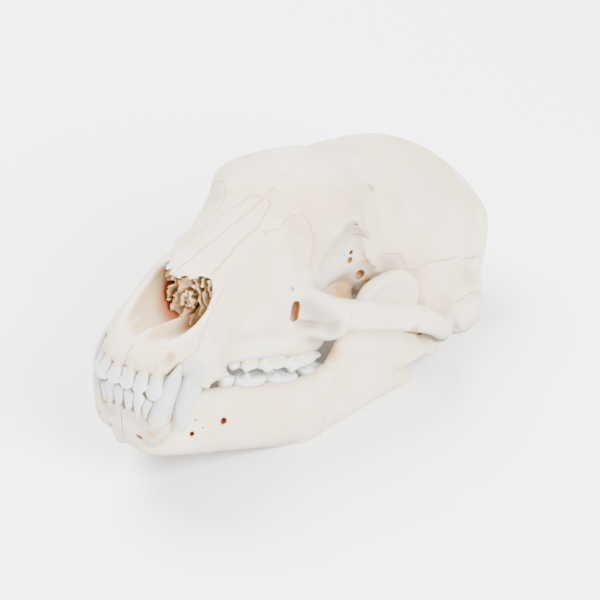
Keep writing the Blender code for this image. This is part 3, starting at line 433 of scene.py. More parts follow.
# A step of the modelling is what the clay does, and with what: add or cut a skin, and how softly it
# joins; a bar along points, its radius and softness; a crease along points, its width and height;
# a swell about a place, its reach and height; roughen with a seed, a cell and a height
cranium = {
    "step": 0.68, "triangles": 130000, "cheekTriangles": 16000,
    # how softly the main shapes join
    "blends": {"braincase": 1, "face": 12, "gumRidge": 5, "arch": 4, "pit": 1.4, "bite": 1.5,
               "notch": 3, "nasalTips": 1.2, "passage": 3, "cheekBone": 0.5},
    "low": (0, -8, -14), "high": (80, 284, 104),
    # y, half width, height of the widest line, top, bottom, upper power, lower power
    "braincase": (
        (112, 20, 60, 80, 36, 2.2, 2.2), (126, 29, 62, 87, 28, 2.2, 2.2),
        (142, 34.5, 62, 94.2, 23, 2.2, 2.2), (158, 39.5, 58, 94.7, 18, 2.1, 2.2),
        (175, 44, 54, 94, 15, 2.05, 2.3), (192, 47.5, 51, 93.8, 13, 2, 2.4),
        (210, 49.5, 49, 93, 12, 2, 2.5), (226, 50, 48, 91.9, 12, 2.05, 2.5),
        (240, 50, 47, 89.4, 12, 2.1, 2.4), (252, 48.5, 46, 85.2, 13.5, 2.15, 2.3),
        (262, 44, 44, 78.7, 16, 2.2, 2.2), (269, 37, 42, 69.5, 20, 2.1, 2),
        (273.5, 25, 41, 59, 26, 2, 2)),
    "face": (
        (0.5, 11, 5.5, 8, 3, 2.2, 2.2), (4, 16, 7, 12.5, 2, 2.3, 2.5),
        (12, 20, 11, 25, 2, 2.5, 3), (22, 23, 16, 40, 3.5, 2.4, 3.2),
        (32, 25, 18, 50, 5, 2.4, 3.4), (45, 26.2, 20, 55, 6.5, 2.4, 3.6),
        (60, 28, 20, 60.8, 7, 2.4, 3.6), (75, 32, 21, 66.5, 7, 2.5, 3.6),
        (88, 36, 24, 71.5, 7, 2.35, 3.6), (98, 39, 30, 75.5, 8, 2.4, 3.4),
        (108, 39.5, 45, 80.5, 9, 2.6, 3), (118, 40, 61, 86.5, 10, 2.7, 2.8),
        (128, 39.5, 68, 91.7, 14, 2.5, 2.6), (138, 38, 70, 94.7, 20, 2.4, 2.4),
        (150, 34, 68, 95.2, 28, 2.2, 2.2)),
    "passage": (
        (-4, 7.5, 24, 30, 18, 2.2, 2.4), (6, 10, 24, 32, 17, 2.2, 2.6),
        (18, 15.5, 25, 37, 15.5, 2.2, 2.8), (30, 18.5, 28, 44, 14.5, 2.2, 2.8),
        (42, 19.5, 30, 50, 14, 2.3, 2.8), (56, 19.5, 30, 54, 15, 2.3, 2.6),
        (72, 19, 32, 57.5, 17, 2.3, 2.6), (86, 15, 36, 56, 22, 2.2, 2.4),
        (94, 8, 38, 48, 30, 2, 2)),
    # x and y of the middle line, lower edge, upper edge, thickness
    "gumRidge": (
        (18, 14, 0.2, 12, 8), (23.5, 30, 0.2, 15, 11), (25, 48, 1.5, 15, 9),
        (28.5, 62, 3, 16, 10), (31.5, 76, 3.2, 18, 13), (33.5, 95, 2, 19, 15.5),
        (33.5, 112, -0.6, 19, 16), (32.5, 126, -1.8, 18, 15), (30.5, 138, -1.2, 16, 11.5)),
    "arch": (
        (30, 95, 22, 46, 13), (41.5, 104.5, 24, 42, 12.5), (50, 116.5, 21.5, 37.5, 11),
        (54, 128.5, 18, 35.5, 9), (57, 137.5, 17, 35, 8), (61.5, 146.5, 17.5, 33.2, 7.2),
        (67.2, 158.5, 17, 33, 7), (70.3, 172.5, 15, 30.5, 7.2), (71, 188, 10.5, 24, 8),
        (68.5, 201, 5, 18.5, 10), (62.5, 211, 2.5, 17.5, 14), (52, 215, 4.5, 25.5, 18),
        (38, 215, 10, 34, 20)),
    "ridges": (
        # the brow's corner, the brow and the root of the upper canine
        ("add", rod(((24, 116, 76), (36, 130, 74.5), (44.5, 142, 66.5)), (22, 14, 3), (10, 8, 3),
                    (0.4, 1, 0)), 8),
        ("add", ball((19, 126, 74), (20, 27, 14)), 8),
        ("add", rod(((25.5, 30, 2), (23.5, 40, 16), (20.5, 52, 28)), (17, 16, 8), (13, 12, 6), (0, 1, 0)),
         7),
        # bone round the roots of the front teeth, the canine's socket and the gum behind it
        ("bar", ((0, 3, 3.6), (6, 2.8, 3.6), (11.8, 4.4, 3.8), (16.4, 8.4, 4), (20, 14, 3.8)), 3.3, 3),
        ("add", rod(((24.5, 39, 16), (26.8, 31.5, 4), (28.2, 28, -4.5)), (16, 19.5, 18.5),
                    (11.5, 13.6, 12.6), (0, 1, 0)), 3),
        ("add", ball((28.5, 42, 0.5), (4.8, 13, 4.5), -14), 5),
        # the swelling over the ear, the process under it and the crest across the rear
        ("add", ball((44, 229, 24), (11.5, 24, 18)), 8),
        ("add", ball((54.5, 244.5, 11.5), (9.2, 13, 16.5)), 8),
        ("add", rod(((0, 270, 69), (20, 268, 68), (35, 262, 63.5), (46, 257, 57.5), (50, 253.5, 44),
                     (53, 250, 27)), (8, 8, 8, 8, 9, 8), (10, 9, 8, 8, 10, 8), (0, 0, 1)), 6),
        # the knuckle of the neck joint and the process that the skull rests on
        ("add", ball((18, 270.5, 28), (10.5, 8, 11.5)), 4),
        ("add", rod(((39, 258, 24), (41, 260, 11), (41, 261, 3)), (15, 12, 6), (10, 8, 5), (1, 0, 0)), 5),
        # the cheek's root, the ear capsule and the ridge behind the jaw's socket
        ("add", ball((40, 120, 18), (16, 16, 7)), 6),
        ("add", ball((31, 229, 11), (14.5, 15, 7.5)), 4),
        ("add", rod(((66, 211, 5), (55, 212, 1), (43, 212.5, 5)), (8, 11, 8), (6, 7, 6), (0, 0, 1)), 3),
        # the wall beside the throat, the palate and the floor of the braincase
        ("add", rod(((17.5, 130, 12), (17, 155, 10), (17, 182, 12), (16.5, 204, 13)), (14, 20, 20, 10),
                    (5, 4.2, 4.6, 4.6), (0, 0, 1)), 3),
        ("add", rod(((0, 95, 10.75), (0, 120, 10.75), (0, 150, 10.75)), (60, 60, 44), (8.5, 8.5, 7),
                    (1, 0, 0), power=4), 3),
        ("add", rod(((0, 150, 25), (0, 210, 25), (0, 266, 25)), (36, 36, 36), (18, 18, 18), (1, 0, 0),
                    power=4), 5)),
    # the eye socket and the two parts of the temple behind it
    "sockets": (
        ("cut", ball((52, 131, 50), (17.5, 25, 18)), 10), ("cut", ball((50.5, 150, 47), (14, 20, 21)), 8),
        ("cut", ball((52, 164, 31), (14.5, 19, 19)), 8)),
    # the jaw's socket, the socket's inner wall and the spike of the brow
    "fittings": (
        ("cut", rod(jawHinge, (15, 16.5, 15), (14, 15, 14), (0, 1, 0)), 2),
        ("add", ball((28.5, 148, 22.5), (9.5, 15, 9)), 4),
        ("add", rod(((38, 140, 71), (42, 144, 67), (45.5, 147, 63.5)), (9, 6, 1.8), (6, 4, 1.8), (0, 1, 0)),
         3)),
    # the ridge behind the eye socket as pixels, and each line of it as offset, width and height
    "socketRidge": ((362, 240), (364, 248), (367, 256), (371, 263), (376, 270)),
    "ridgeLines": (((0, 0, 0), 2.6, 1.7), ((0, 1.5, -1), 0.8, 0.5), ((0, -2, 0.5), 0.8, 0.4)),
    # pits under the brow as pixels, how far out each one's ball stands, and its radii
    "browPits": ((346, 229), (353, 229), (359, 235)), "pitOut": 1.6, "pitRadii": (3.2, 4.2, 3.6),
    # grooves and ridges at the rear as pixels, width and height
    "rearLines": (
        (((484, 292), (472, 296), (460, 303), (450, 308)), 1.6, -1.3),
        (((482, 284), (468, 290), (455, 299)), 2.4, 0.9),
        (((430, 305), (438, 310), (448, 319), (456, 329)), 1.5, -1.5),
        (((450, 309), (456, 318), (461, 329)), 2.2, 0.7)),
    # hollows in the skin as pixel, reach and height
    "hollows": (
        ((351, 231), (4, 6, 4.5), -3.8), ((345, 289), (4, 5, 5), -3),
        ((365, 285), (3, 3, 3), -2.6), ((470, 298), (3, 4, 3), -1.8),
        ((461, 305), (3.5, 3.5, 2.5), -1.8)),
    # the bone over a front tooth's root as share of the tooth's x, place behind it and height, and
    # how wide and high it stands out
    "rootPath": ((1, 1, 4), (0.95, 4, 10), (0.9, 8, 15)), "rootRidge": (2.6, 0.7),
    "grain": (("roughen", 4, 15, 0.16), ("roughen", 9, 6, 0.05)),
    # y and z of the nose opening's rim seen from the side, closed well above the snout
    "notch": (
        (-10, 13.5), (4, 15), (11, 17), (20, 21), (29, 27), (36, 33.5), (41.5, 41), (44.5, 49),
        (47, 80), (-10, 80)),
    # y, half width and top of the nasal bones' free ends
    "nasalTips": ((30, 5, 50), (34, 8.5, 51.5), (40, 12, 53.5), (46, 15, 55.5), (52, 16.5, 57.5)),
    # how far they drop at a width, how far under the top their middle lies, and half their thickness
    "nasalArch": {"half": 13, "drop": 4.5, "under": 1.8, "thick": 1.7},
    "openings": (
        # the crest in the middle of the nose's floor and the ledge beside it
        ("add", rod(((0, 9, 14.5), (0, 18, 15), (0, 32, 14), (0, 50, 14), (0, 72, 15)),
                    (3, 6, 6, 5, 4), (5, 9, 12, 14, 16), (1, 0, 0)), 2.5),
        ("bar", ((10.5, 15, 16), (13.5, 24, 16.5), (16, 34, 17.5), (17.5, 46, 18)), 1.9, 1.5),
        # nicks in the nasal bones' edge
        ("cut", ball((5.5, 31.5, 50.5), (3, 3.2, 4)), 0.6), ("cut", ball((12, 39, 51), (2.5, 3, 4)), 0.6),
        # the spinal cord's opening, the hollow of the base and two openings in the palate
        ("cut", rod(((0, 246, 36), (0, 266, 36), (0, 285, 36)), (18, 23, 25), (15, 18, 20), (1, 0, 0)), 2.5),
        ("cut", rod(((0, 150, 12), (0, 165, 6), (0, 190, 1)), (22, 23, 23), (14, 18, 20), (1, 0, 0)), 2.5),
        ("drill", ((5, 13, -1), (5.5, 22, -1)), 2.4), ("drill", ((5, 13, 4), (5.5, 22, 6)), 2.2)),
    # holes in the bone: pixels along the opening, radius, depth and how soft its lip is
    "holes": (
        (((296.3, 304.5), (295, 311.5), (293.8, 318.5)), 1.8, 5.2, 0.7),
        (((292, 289),), 0.9, 1.6, 1.2),
        (((351, 252.5),), 1.25, 5, 0.5), (((344.5, 255.5),), 0.6, 3, 0.3),
        (((349.7, 260.3),), 1.7, 3.6, 0.5), (((359.5, 275),), 2.9, 4.5, 0.7),
        (((356, 224.5),), 0.7, 3, 0.4), (((424.5, 310),), 0.6, 2.5, 0.3)),
    # the cheek bone between its sutures seen from the side, its inner side, how far it keeps from the
    # braincase, and the gap in its sutures
    "cheekBone": ((119, 60), (127, 0), (208, 0), (182, 60)), "cheekInner": 46,
    "cheekRoom": 1.5, "sutureGap": 0.12,
    # sutures as pixel paths: how far they wander, how often, and how dark they are
    "sutures": (
        ("nasal", ((178, 272), (187, 260), (200, 253), (213, 246), (225, 233), (245, 214), (266, 199)),
         0.25, 4, 0.9),
        ("metopic", ((267, 198), (271, 190), (285, 180), (297, 170), (303, 167), (320, 156), (340, 147)),
         0.35, 3, 0.6),
        ("nasomaxillary", ((205, 281), (218, 268), (230, 255), (240, 242), (252, 232), (256, 228),
                           (262, 220), (267, 212), (270, 203), (267.5, 199)), 0.35, 4, 0.8),
        ("frontomaxillary", ((259, 228), (263, 232), (272, 231), (283, 225), (294, 215), (300, 214),
                             (306, 218), (310, 228), (313, 236), (312, 255), (310, 268), (312, 270),
                             (311, 285)), 0.45, 2.2, 0.75),
        ("premaxillary", ((223, 290), (211, 312), (207, 324), (202, 336), (196, 350), (183, 362),
                          (180, 366)), 0.4, 2.6, 0.7),
        ("squamosal", ((379, 257.4), (397, 254.8), (405.9, 266.3), (414.8, 269.5), (427.6, 263),
                       (444, 260), (478.6, 257.4)), 0.9, 2.2, 0.85),
        ("socket", ((361, 240), (363, 248), (365, 256), (370, 264), (376, 270)), 0.9, 1.6, 0.7),
        ("interincisive", ((136, 346), (131, 353), (127, 362), (125.5, 367)), 0.3, 3, 0.9)),
    "midline": ("nasal", "metopic", "interincisive"), "seamWidth": 0.5, "seamDepth": 0.4,
    # how far from a seam the faces are finer, their longest edge, and the rounds of cutting
    "seamFaces": (1.3, 0.42, 2),
}

# Teeth: positions and sizes as in the drawing, and the cusps of each cheek tooth as shares of its
# half length, half width and height, with each cusp's radius as a share of the width
teeth = {
    "step": 0.42, "upperTriangles": 150000, "lowerTriangles": 75000,
    # x, y, gum height, length, width, height, turn, cusps
    "upperCheek": (
        (28.6, 61.5, 3, 7.5, 5, 5, 8, ((0, 0, 1, 0.42), (0.5, 0, 0.55, 0.3))),
        (31.4, 70.8, 3.4, 12.5, 9, 6.4, 10, (
            (-0.35, 0.45, 1, 0.28), (0.5, 0.5, 0.78, 0.24), (0.2, -0.5, 0.55, 0.24))),
        (33, 88.6, 2.4, 24, 14.5, 7, 6, (
            (-0.42, 0.58, 1, 0.22), (0.38, 0.58, 0.96, 0.22), (-0.4, -0.6, 0.72, 0.24),
            (0.38, -0.6, 0.68, 0.22), (-0.88, 0.4, 0.6, 0.13), (0.86, 0.45, 0.55, 0.13),
            (0, -0.62, 0.6, 0.15))),
        (33.4, 116, -0.4, 31, 15, 8.4, -2, (
            (-0.62, 0.58, 0.98, 0.22), (-0.12, 0.6, 0.84, 0.2), (-0.58, -0.6, 0.64, 0.22),
            (-0.1, -0.6, 0.56, 0.18), (0.42, 0.45, 0.5, 0.2), (0.5, -0.35, 0.48, 0.22),
            (0.8, 0.1, 0.42, 0.2)))),
    "lowerCheek": (
        (22.4, 67.5, -13.5, 9.5, 6.5, 7.4, 14, ((-0.15, 0, 1, 0.30), (0.62, 0, 0.5, 0.24))),
        (26.8, 82.5, -14.4, 22.5, 11, 7.4, 15, (
            (-0.8, 0.05, 0.74, 0.24), (-0.34, 0.4, 1, 0.25), (-0.18, -0.5, 0.8, 0.2),
            (0.42, 0.45, 0.72, 0.24), (0.5, -0.5, 0.66, 0.22), (0.84, 0.05, 0.52, 0.18))),
        (32, 105, -14.6, 23, 13, 6, 13, (
            (-0.5, 0.5, 0.92, 0.22), (-0.45, -0.55, 1, 0.2), (0.3, 0.5, 0.74, 0.22),
            (0.35, -0.55, 0.76, 0.18), (0.8, 0, 0.6, 0.18), (-0.86, 0, 0.7, 0.15))),
        (37.2, 127.5, -12.6, 19.5, 12.5, 5.6, 13, (
            (-0.45, 0.4, 0.9, 0.24), (0.3, -0.4, 0.7, 0.24), (0.4, 0.45, 0.7, 0.2)))),
    # x, y, gum height, width, depth, crown height, lean of the crown
    "upperFront": (
        (4.2, 1, 1, 8.2, 6.8, 10.4, -3.6), (11.2, 2.4, 1, 8.2, 7.2, 10.8, -3.4),
        (16.8, 6.8, 1.5, 9.2, 8, 14.4, -1)),
    "lowerFront": (
        (3.3, 8.5, -22, 6.4, 5.8, 11, -5), (8.8, 9, -21.5, 6.6, 6.2, 11.5, -5),
        (13.2, 10.6, -21, 7.8, 6.8, 7.4, -3)),
    # x, y, z, width, depth from the root to the tip
    "upperCanine": (
        (24.5, 39, 16, 13, 8.5), (26.2, 30.4, 4, 16, 10.6), (27, 25.2, -6, 15.5, 10.4),
        (26.9, 23.2, -16, 12.8, 8.8), (26.8, 24.6, -25, 8.8, 6.2), (26.8, 27.8, -32, 2.4, 1.8)),
    "lowerCanine": (
        (13.2, 25, -36, 9, 6.5), (16.6, 18, -28, 15.4, 10.2), (19, 14.6, -18, 15.6, 10.3),
        (21.6, 13.3, -8, 13.6, 8.8), (23.6, 13.4, 1, 9.8, 6.2), (24.8, 14.5, 8.5, 2.6, 1.8)),
    # a cheek tooth's root as depth and breadth, its crown as share of the height and breadth, and its
    # socket as depth and breadth with the room round it
    "root": ((-4, 0.66), (-1.2, 0.84)), "crown": ((0.12, 0.93), (0.35, 1), (0.56, 0.96), (0.68, 0.80)),
    "pit": ((-3.6, 0.7), (-1, 0.86), (2.5, 0.9)), "room": 0.3, "pitBlends": (0.4, 0.9),
    # how far out the outermost cusps stand, along and across, and a cusp's breadths from its foot to
    # its tip, with how high its foot is and how far under its tip its shoulder
    "cuspReach": (0.92, 0.82), "cuspBreadths": ((2.4, 2.1, 1.1, 0.35), (2.1, 1.8, 0.95, 0.3)),
    "cuspFoot": 0.1, "cuspShoulder": 0.12,
    # a front tooth from root to edge: share of the height, width, depth and how far it has leant
    "blade": ((-0.55, 0.46, 0.75, -0.30), (-0.25, 0.54, 0.95, -0.12), (0, 0.64, 1, 0.05),
              (0.3, 0.84, 0.92, 0.32), (0.6, 0.98, 0.66, 0.62), (0.85, 0.80, 0.42, 0.88),
              (1, 0.36, 0.22, 1)),
    # the lobe on its side: how far aside, along its lean and up, and the lobe's radii
    "lobe": {"aside": 0.36, "lean": 0.66, "up": 0.60, "radii": (0.20, 0.26, 0.17)},
    # the low ridge inside a fang: how far in and back, its width and height
    "fangRidge": {"inwards": 0.45, "back": 0.2, "width": 0.9, "height": 0.25},
    # how much wider than a fang its place in the other jaw is, and how much slimmer its own socket
    "bite": 2, "grip": -0.4,
    # the gum line in front, where it starts and over what length, and how near a neighbour darkens
    "frontGum": {-1: 0.8, 1: -22}, "frontFrom": (45, 15), "gapReach": 1.3,
}

jaw = {
    "step": 0.68, "triangles": 60000,
    "low": (-1, 2, -58), "high": (78, 208, 52), "split": 0.03,
    "blends": {"body": 1, "ramus": 6, "bite": 2},
    # x, y, bottom, top, thickness
    "body": (
        (6, 11, -35, -20.5, 11), (6.5, 20, -47.8, -18.5, 9), (10.5, 31.5, -51.8, -16.5, 12),
        (19, 48, -51.4, -15, 14), (26, 70, -51, -13.8, 14.5), (33.2, 92, -51, -13.8, 15),
        (39.5, 112, -50.5, -12.6, 15), (45, 130, -45, -8, 12.5)),
    # the upright rear part seen from the side as y and z, and half its thickness
    "ramus": (
        (118, -50.5), (130, -47.5), (145, -41), (160, -34.5), (175, -28.8), (188, -24.8), (198.5, -21.3),
        (196.5, -16.5), (190, -11.5), (196, -5.5), (199, 1), (193, 6), (189, 14), (190, 26), (187, 37),
        (180, 42.5), (171, 43.5), (160, 41.5), (150, 37), (143, 25), (134.5, 5), (126, -11), (118, -20)),
    "ramusHalf": 3.1,
    # its x at a y, how it spreads to the rear, and how it leans inwards above
    "ramusPlace": (44.5, 125, 0.19, 0.06),
    # the chin, the bone round the lower canine's root, the head in its socket and the head's neck
    "growths": (
        ("add", rod(((0, 10.5, -21.5), (0, 15.8, -30), (0, 21, -39.5), (0, 31, -44.5)), (22, 20, 16, 14),
                    (13, 16, 15, 12), (1, 0, 0)), 5),
        ("add", ball((13, 21.5, -27.5), (7.4, 9, 9.8)), 5),
        ("add", fang(((13, 26, -40, 12, 9), (15, 21, -33.5, 17, 12.5),
                      (17.3, 17, -25, 17.6, 12.4))), 3),
        ("add", rod(jawHinge, (8.5, 10, 8), (8, 9.5, 7.5), (0, 1, 0)), 2),
        ("add", rod(((53, 180, -10), (56, 190, -7), (57, 198.5, -3)), (12, 14, 16), (10, 9, 8), (1, 0, 0)),
         5)),
    # the ramus's front edge, its lower edge and the hollow of the chewing muscle
    "muscleMarks": (
        ("crease", ((43, 122, -16), (46, 131, -2), (48, 140, 14), (49.5, 147, 28), (51, 156, 38),
                    (53, 168, 42.5)), 4, 1.2),
        ("crease", ((46, 128, -44), (51, 150, -34), (55, 172, -26), (59, 190, -21)), 4, 1),
        ("swell", (59, 168, -4), (7, 19, 15), -1.6)),
    "dents": (("swell", (21, 9, -21), (5, 5, 5), -2.6), ("swell", (24, 17, -19), (5, 6, 5), -2.2)),
    "grain": (("roughen", 5, 14, 0.15), ("roughen", 8, 6, 0.05)),
    "holes": (
        (((223.7, 421),), 1.9, 5.5, 0.5), (((192, 434),), 1.4, 5, 0.5), (((195.6, 420.4),), 0.6, 2.4, 0.3),
        (((202.8, 427.8),), 0.6, 2.4, 0.3), (((119.6, 422),), 0.7, 2, 0.3),
        (((137, 435.5), (141, 438)), 0.7, 2, 0.4), (((405, 330), (413, 331.5), (421, 334)), 0.8, 3, 0.4)),
}


def model(clay, steps):
    for action, *given in steps:
        getattr(clay, action)(*given)


def drillHoles(clay, holes):
    # a hole goes inwards, and more along the line of sight, so that its depth shows
    sightShare, outside = 2.0, 1.5
    for pixels, radius, depth, lip in holes:
        places = clay.snap(clay.seenPath(pixels))
        if len(places) > 1:
            places = smoothPath(places)
        way = -clay.slope(places).mean(0) + sightShare * pixelRay(pixels[0])[1]
        way /= np.linalg.norm(way)
        for place in places:
            clay.drill((place - way * outside, place + way * depth), radius, lip)


def seatTeeth(clay, cheekTeeth, canine, up):
    # sinks the teeth's sockets in the bone, a little wider than the necks of the cheek teeth
    for x, y, gum, length, width, _, turn, _ in cheekTeeth:
        rings = [toothRing(x, y, length * scale + 2 * teeth["room"], width * scale + 2 * teeth["room"], turn,
                           gum + up * level) for level, scale in teeth["pit"]]
        clay.cut(loft(rings), teeth["pitBlends"][0])
    clay.cut(fang(canine[:3], teeth["grip"]), teeth["pitBlends"][1])


def craniumClay():
    # only the left half is modelled, up to the middle plane, and then mirrored
    clay = Clay(cranium["low"], cranium["high"], cranium["step"])
    blends = cranium["blends"]
    clay.add(bodyLoft(cranium["braincase"]), blends["braincase"])
    brainOnly = clay.values.copy()
    clay.add(bodyLoft(cranium["face"]), blends["face"])
    clay.add(planSweep(cranium["gumRidge"]), blends["gumRidge"])
    model(clay, cranium["ridges"])
    report("braincase, face and ridges")
    model(clay, cranium["sockets"])
    clay.add(planSweep(cranium["arch"]), blends["arch"])
    model(clay, cranium["fittings"])
    ridge = clay.snap(clay.seenPath(cranium["socketRidge"]))
    for offset, width, height in cranium["ridgeLines"]:
        clay.crease(ridge + offset, width, height)
    pits = clay.seenPath(cranium["browPits"])
    for place, out in zip(pits, clay.slope(pits)):
        clay.cut(ball(place + cranium["pitOut"] * out, cranium["pitRadii"]), blends["pit"])
    for pixels, width, height in cranium["rearLines"]:
        clay.crease(clay.snap(clay.seenPath(pixels)), width, height)
    for pixel, reach, height in cranium["hollows"]:
        clay.swell(clay.seen(pixel), reach, height)
    for x, y, *_ in teeth["upperFront"]:  # the roots show through the bone
        path = [(x * share, y + behind, z) for share, behind, z in cranium["rootPath"]]
        clay.crease(path, *cranium["rootRidge"])
    clay.cut(fang(teeth["lowerCanine"], teeth["bite"]), blends["bite"])
    model(clay, cranium["grain"])
    seatTeeth(clay, teeth["upperCheek"], teeth["upperCanine"], -1)
    unopened = clay.copy()
    clay.cut(slab(cranium["notch"], -50, 50), blends["notch"])
    clay.add(nasalTips(cranium["nasalTips"], cranium["nasalArch"]), blends["nasalTips"])
    clay.cut(bodyLoft(cranium["passage"]), blends["passage"])
    model(clay, cranium["openings"])
    drillHoles(clay, cranium["holes"])
    report("openings and holes")
    block = Clay(cranium["low"], cranium["high"], cranium["step"])
    block.add(slab(cranium["cheekBone"], cranium["cheekInner"], 100), blends["cheekBone"])
    apart = np.maximum(block.values, cranium["cheekRoom"] - brainOnly)
    cheek = clay.copy()
    cheek.values = np.maximum(clay.values, apart + cranium["sutureGap"] / 2)
    clay.values = np.maximum(clay.values, cranium["sutureGap"] / 2 - apart)
    return clay, cheek, unopened


def ramusMiddle(y, z):
    # the x place of the ramus's middle surface, which leans inwards above
    x, start, spread, lean = jaw["ramusPlace"]
    return x + (y - start) * spread - np.maximum(0, z) * lean


def jawClay():
    clay = Clay(jaw["low"], jaw["high"], jaw["step"])
    clay.add(planSweep(jaw["body"], 2.4), jaw["blends"]["body"])
    outline = smoothPath([(y, z, 0) for y, z in jaw["ramus"] + jaw["ramus"][:1]], 4)[:-1, :2]
    clay.plate(outline, ramusMiddle, jaw["ramusHalf"], jaw["blends"]["ramus"])
    model(clay, jaw["growths"] + jaw["muscleMarks"])
    clay.cut(fang(teeth["upperCanine"], teeth["bite"]), jaw["blends"]["bite"])
    model(clay, jaw["dents"] + jaw["grain"])
    seatTeeth(clay, teeth["lowerCheek"], teeth["lowerCanine"], 1)
    unopened = clay.copy()
    drillHoles(clay, jaw["holes"])
    x = clay.places(np.zeros(3, int), clay.shape)[0]
    clay.values = np.maximum(clay.values, jaw["split"] - x)
    report("jaw")
    return clay, unopened


def meshObject(name, points, triangles, quads):
    mesh = bpy.data.meshes.new(name)
    corners = np.concatenate((np.ravel(triangles), np.ravel(quads)))
    counts = np.concatenate((np.full(len(triangles), 3), np.full(len(quads), 4)))
    mesh.vertices.add(len(points))
    mesh.vertices.foreach_set("co", np.asarray(points, np.float32).ravel())
    mesh.loops.add(len(corners))
    mesh.loops.foreach_set("vertex_index", corners.astype(np.int32))
    mesh.polygons.add(len(counts))
    mesh.polygons.foreach_set("loop_start", (np.cumsum(counts) - counts).astype(np.int32))
    mesh.update(calc_edges=True)
    mesh.validate()
    return linked(name, mesh)


def largestShell(points, triangles, quads):
    # keeps the largest connected skin, found by passing the lowest number along the faces' edges
    label = np.arange(len(points))
    pairs = np.vstack((quads[:, [0, 1]], quads[:, [1, 2]], quads[:, [2, 3]], triangles[:, [0, 1]],
                       triangles[:, [1, 2]])).astype(int)
    while True:
        low = np.minimum(label[pairs[:, 0]], label[pairs[:, 1]])
        fresh = label.copy()
        np.minimum.at(fresh, pairs[:, 0], low)
        np.minimum.at(fresh, pairs[:, 1], low)
        fresh = fresh[fresh]
        if np.array_equal(fresh, label):
            break
        label = fresh
    names, counts = np.unique(label, return_counts=True)
    keep = label == names[np.argmax(counts)]
    number = np.cumsum(keep) - 1
    return (points[keep], number[triangles[keep[triangles[:, 0]]].astype(int)],
            number[quads[keep[quads[:, 0]]].astype(int)])


def outward(obj):
    bm = bmesh.new()
    bm.from_mesh(obj.data)
    if bm.calc_volume(signed=True) < 0:
        bmesh.ops.reverse_faces(bm, faces=bm.faces)
    bm.to_mesh(obj.data)
    bm.free()


def makePlain(obj):
    # replaces the object's mesh and modifiers by the mesh that they make
    mesh = bpy.data.meshes.new_from_object(obj.evaluated_get(bpy.context.evaluated_depsgraph_get()))
    mesh.validate()
    obj.modifiers.clear()
    obj.data = mesh


def thinned(obj, triangles):
    now = sum(len(polygon.vertices) - 2 for polygon in obj.data.polygons)
    if now > triangles:
        modifier = obj.modifiers.new("thin", "DECIMATE")
        modifier.ratio = triangles / now
        makePlain(obj)


def smoothObject(name, skin, triangles):
    obj = meshObject(name, *skin)
    outward(obj)
    thinned(obj, triangles)
    obj.data.shade_smooth()
    report(f"{name}: {len(obj.data.polygons)} faces")
    return obj


def vertexPlaces(obj):
    places = np.empty(3 * len(obj.data.vertices), np.float32)
    obj.data.vertices.foreach_get("co", places)
    return places.reshape(-1, 3).astype(float)


def setAttribute(obj, name, values):
    attribute = obj.data.attributes.get(name) or obj.data.attributes.new(name, "FLOAT", "POINT")
    attribute.data.foreach_set("value", np.asarray(values, np.float32))


def twin(obj, name):
    # the same bone on the other side of the head
    other = linked(name, obj.data.copy())
    other.data.transform(Matrix.Diagonal((-1, 1, 1, 1)))
    other.data.flip_normals()
    return other


def wandering(clay, pixels, sway, wave, seed, middle):
    # a suture's fine course on the skin, from the pixels that it passes through
    places = clay.snap(clay.seenPath(pixels))
    if middle:
        places[:, 0] = 0
        places = clay.snap(places)
    spacing, uneven, finer, calm = 0.3, 0.35, 0.4, 3  # the last is the length of its calm ends
    length = np.linalg.norm(np.diff(places, axis=0), axis=1).sum()
    fine = smoothPath(places, max(2, int(length / spacing / (len(places) - 1))))
    random = np.random.default_rng(seed)
    knots = np.arange(0, length + 3 * wave, wave)
    along = np.linspace(0, length, len(fine))
    shift = np.interp(along + wave * random.random(),
                      knots + wave * random.uniform(-uneven, uneven, len(knots)),
                      sway * random.standard_normal(len(knots)))
    shift += finer * np.interp(along, knots / 2, sway * random.standard_normal(len(knots)))
    heading = np.gradient(fine, axis=0)
    aside = np.cross(heading, clay.slope(fine))
    aside /= np.maximum(np.linalg.norm(aside, axis=1)[:, None], 1e-6)
    fade = np.minimum(1, np.minimum(along, length - along) / calm)
    return clay.snap(fine + aside * (shift * fade)[:, None])


def refine(obj, tree, reach, longest, rounds):
    # smaller triangles near a suture, so that its groove is real
    bm = bmesh.new()
    bm.from_mesh(obj.data)
    for _ in range(rounds):
        near = {v for v in bm.verts if tree.find(v.co)[2] < reach}
        edges = [e for e in bm.edges if (e.verts[0] in near or e.verts[1] in near)
                 and e.calc_length() > longest]
        bmesh.ops.subdivide_edges(bm, edges=edges, cuts=1)
        bmesh.ops.triangulate(bm, faces=[f for f in bm.faces if len(f.verts) > 3])
    bm.to_mesh(obj.data)
    bm.free()


def engrave(obj, clay, courses, width, depth):
    points = np.vstack([course for course, _ in courses])
    strengths = np.concatenate([np.full(len(course), strength) for course, strength in courses])
    tree = KDTree(len(points))
    for index, point in enumerate(points):
        tree.insert(point, index)
    tree.balance()
    refine(obj, tree, *cranium["seamFaces"])
    places = vertexPlaces(obj)
    seam = np.zeros(len(places))
    for index, place in enumerate(places):
        _, nearest, distance = tree.find(place)
        if distance < 5 * width:
            seam[index] = strengths[nearest] * math.exp(-(distance / width) ** 2)
    touched = seam > 0.01
    places[touched] -= clay.slope(places[touched]) * (depth * seam[touched])[:, None]
    obj.data.vertices.foreach_set("co", places.astype(np.float32).ravel())
    obj.data.update()
    setAttribute(obj, "seam", seam)


def hollowShade(clay, places, looks=((3, 0.5), (7.5, 0.8))):
    # painted shade: 0 on open skin and towards 1 in a hollow, from the room in front of each place, to
    # darken the bone's colour there; each look is how far it goes and how much it counts
    out = clay.slope(places)
    total = sum(share * (1 - clay.sample(places + reach * out) / reach) for reach, share in looks)
    return np.clip(total, 0, 1)


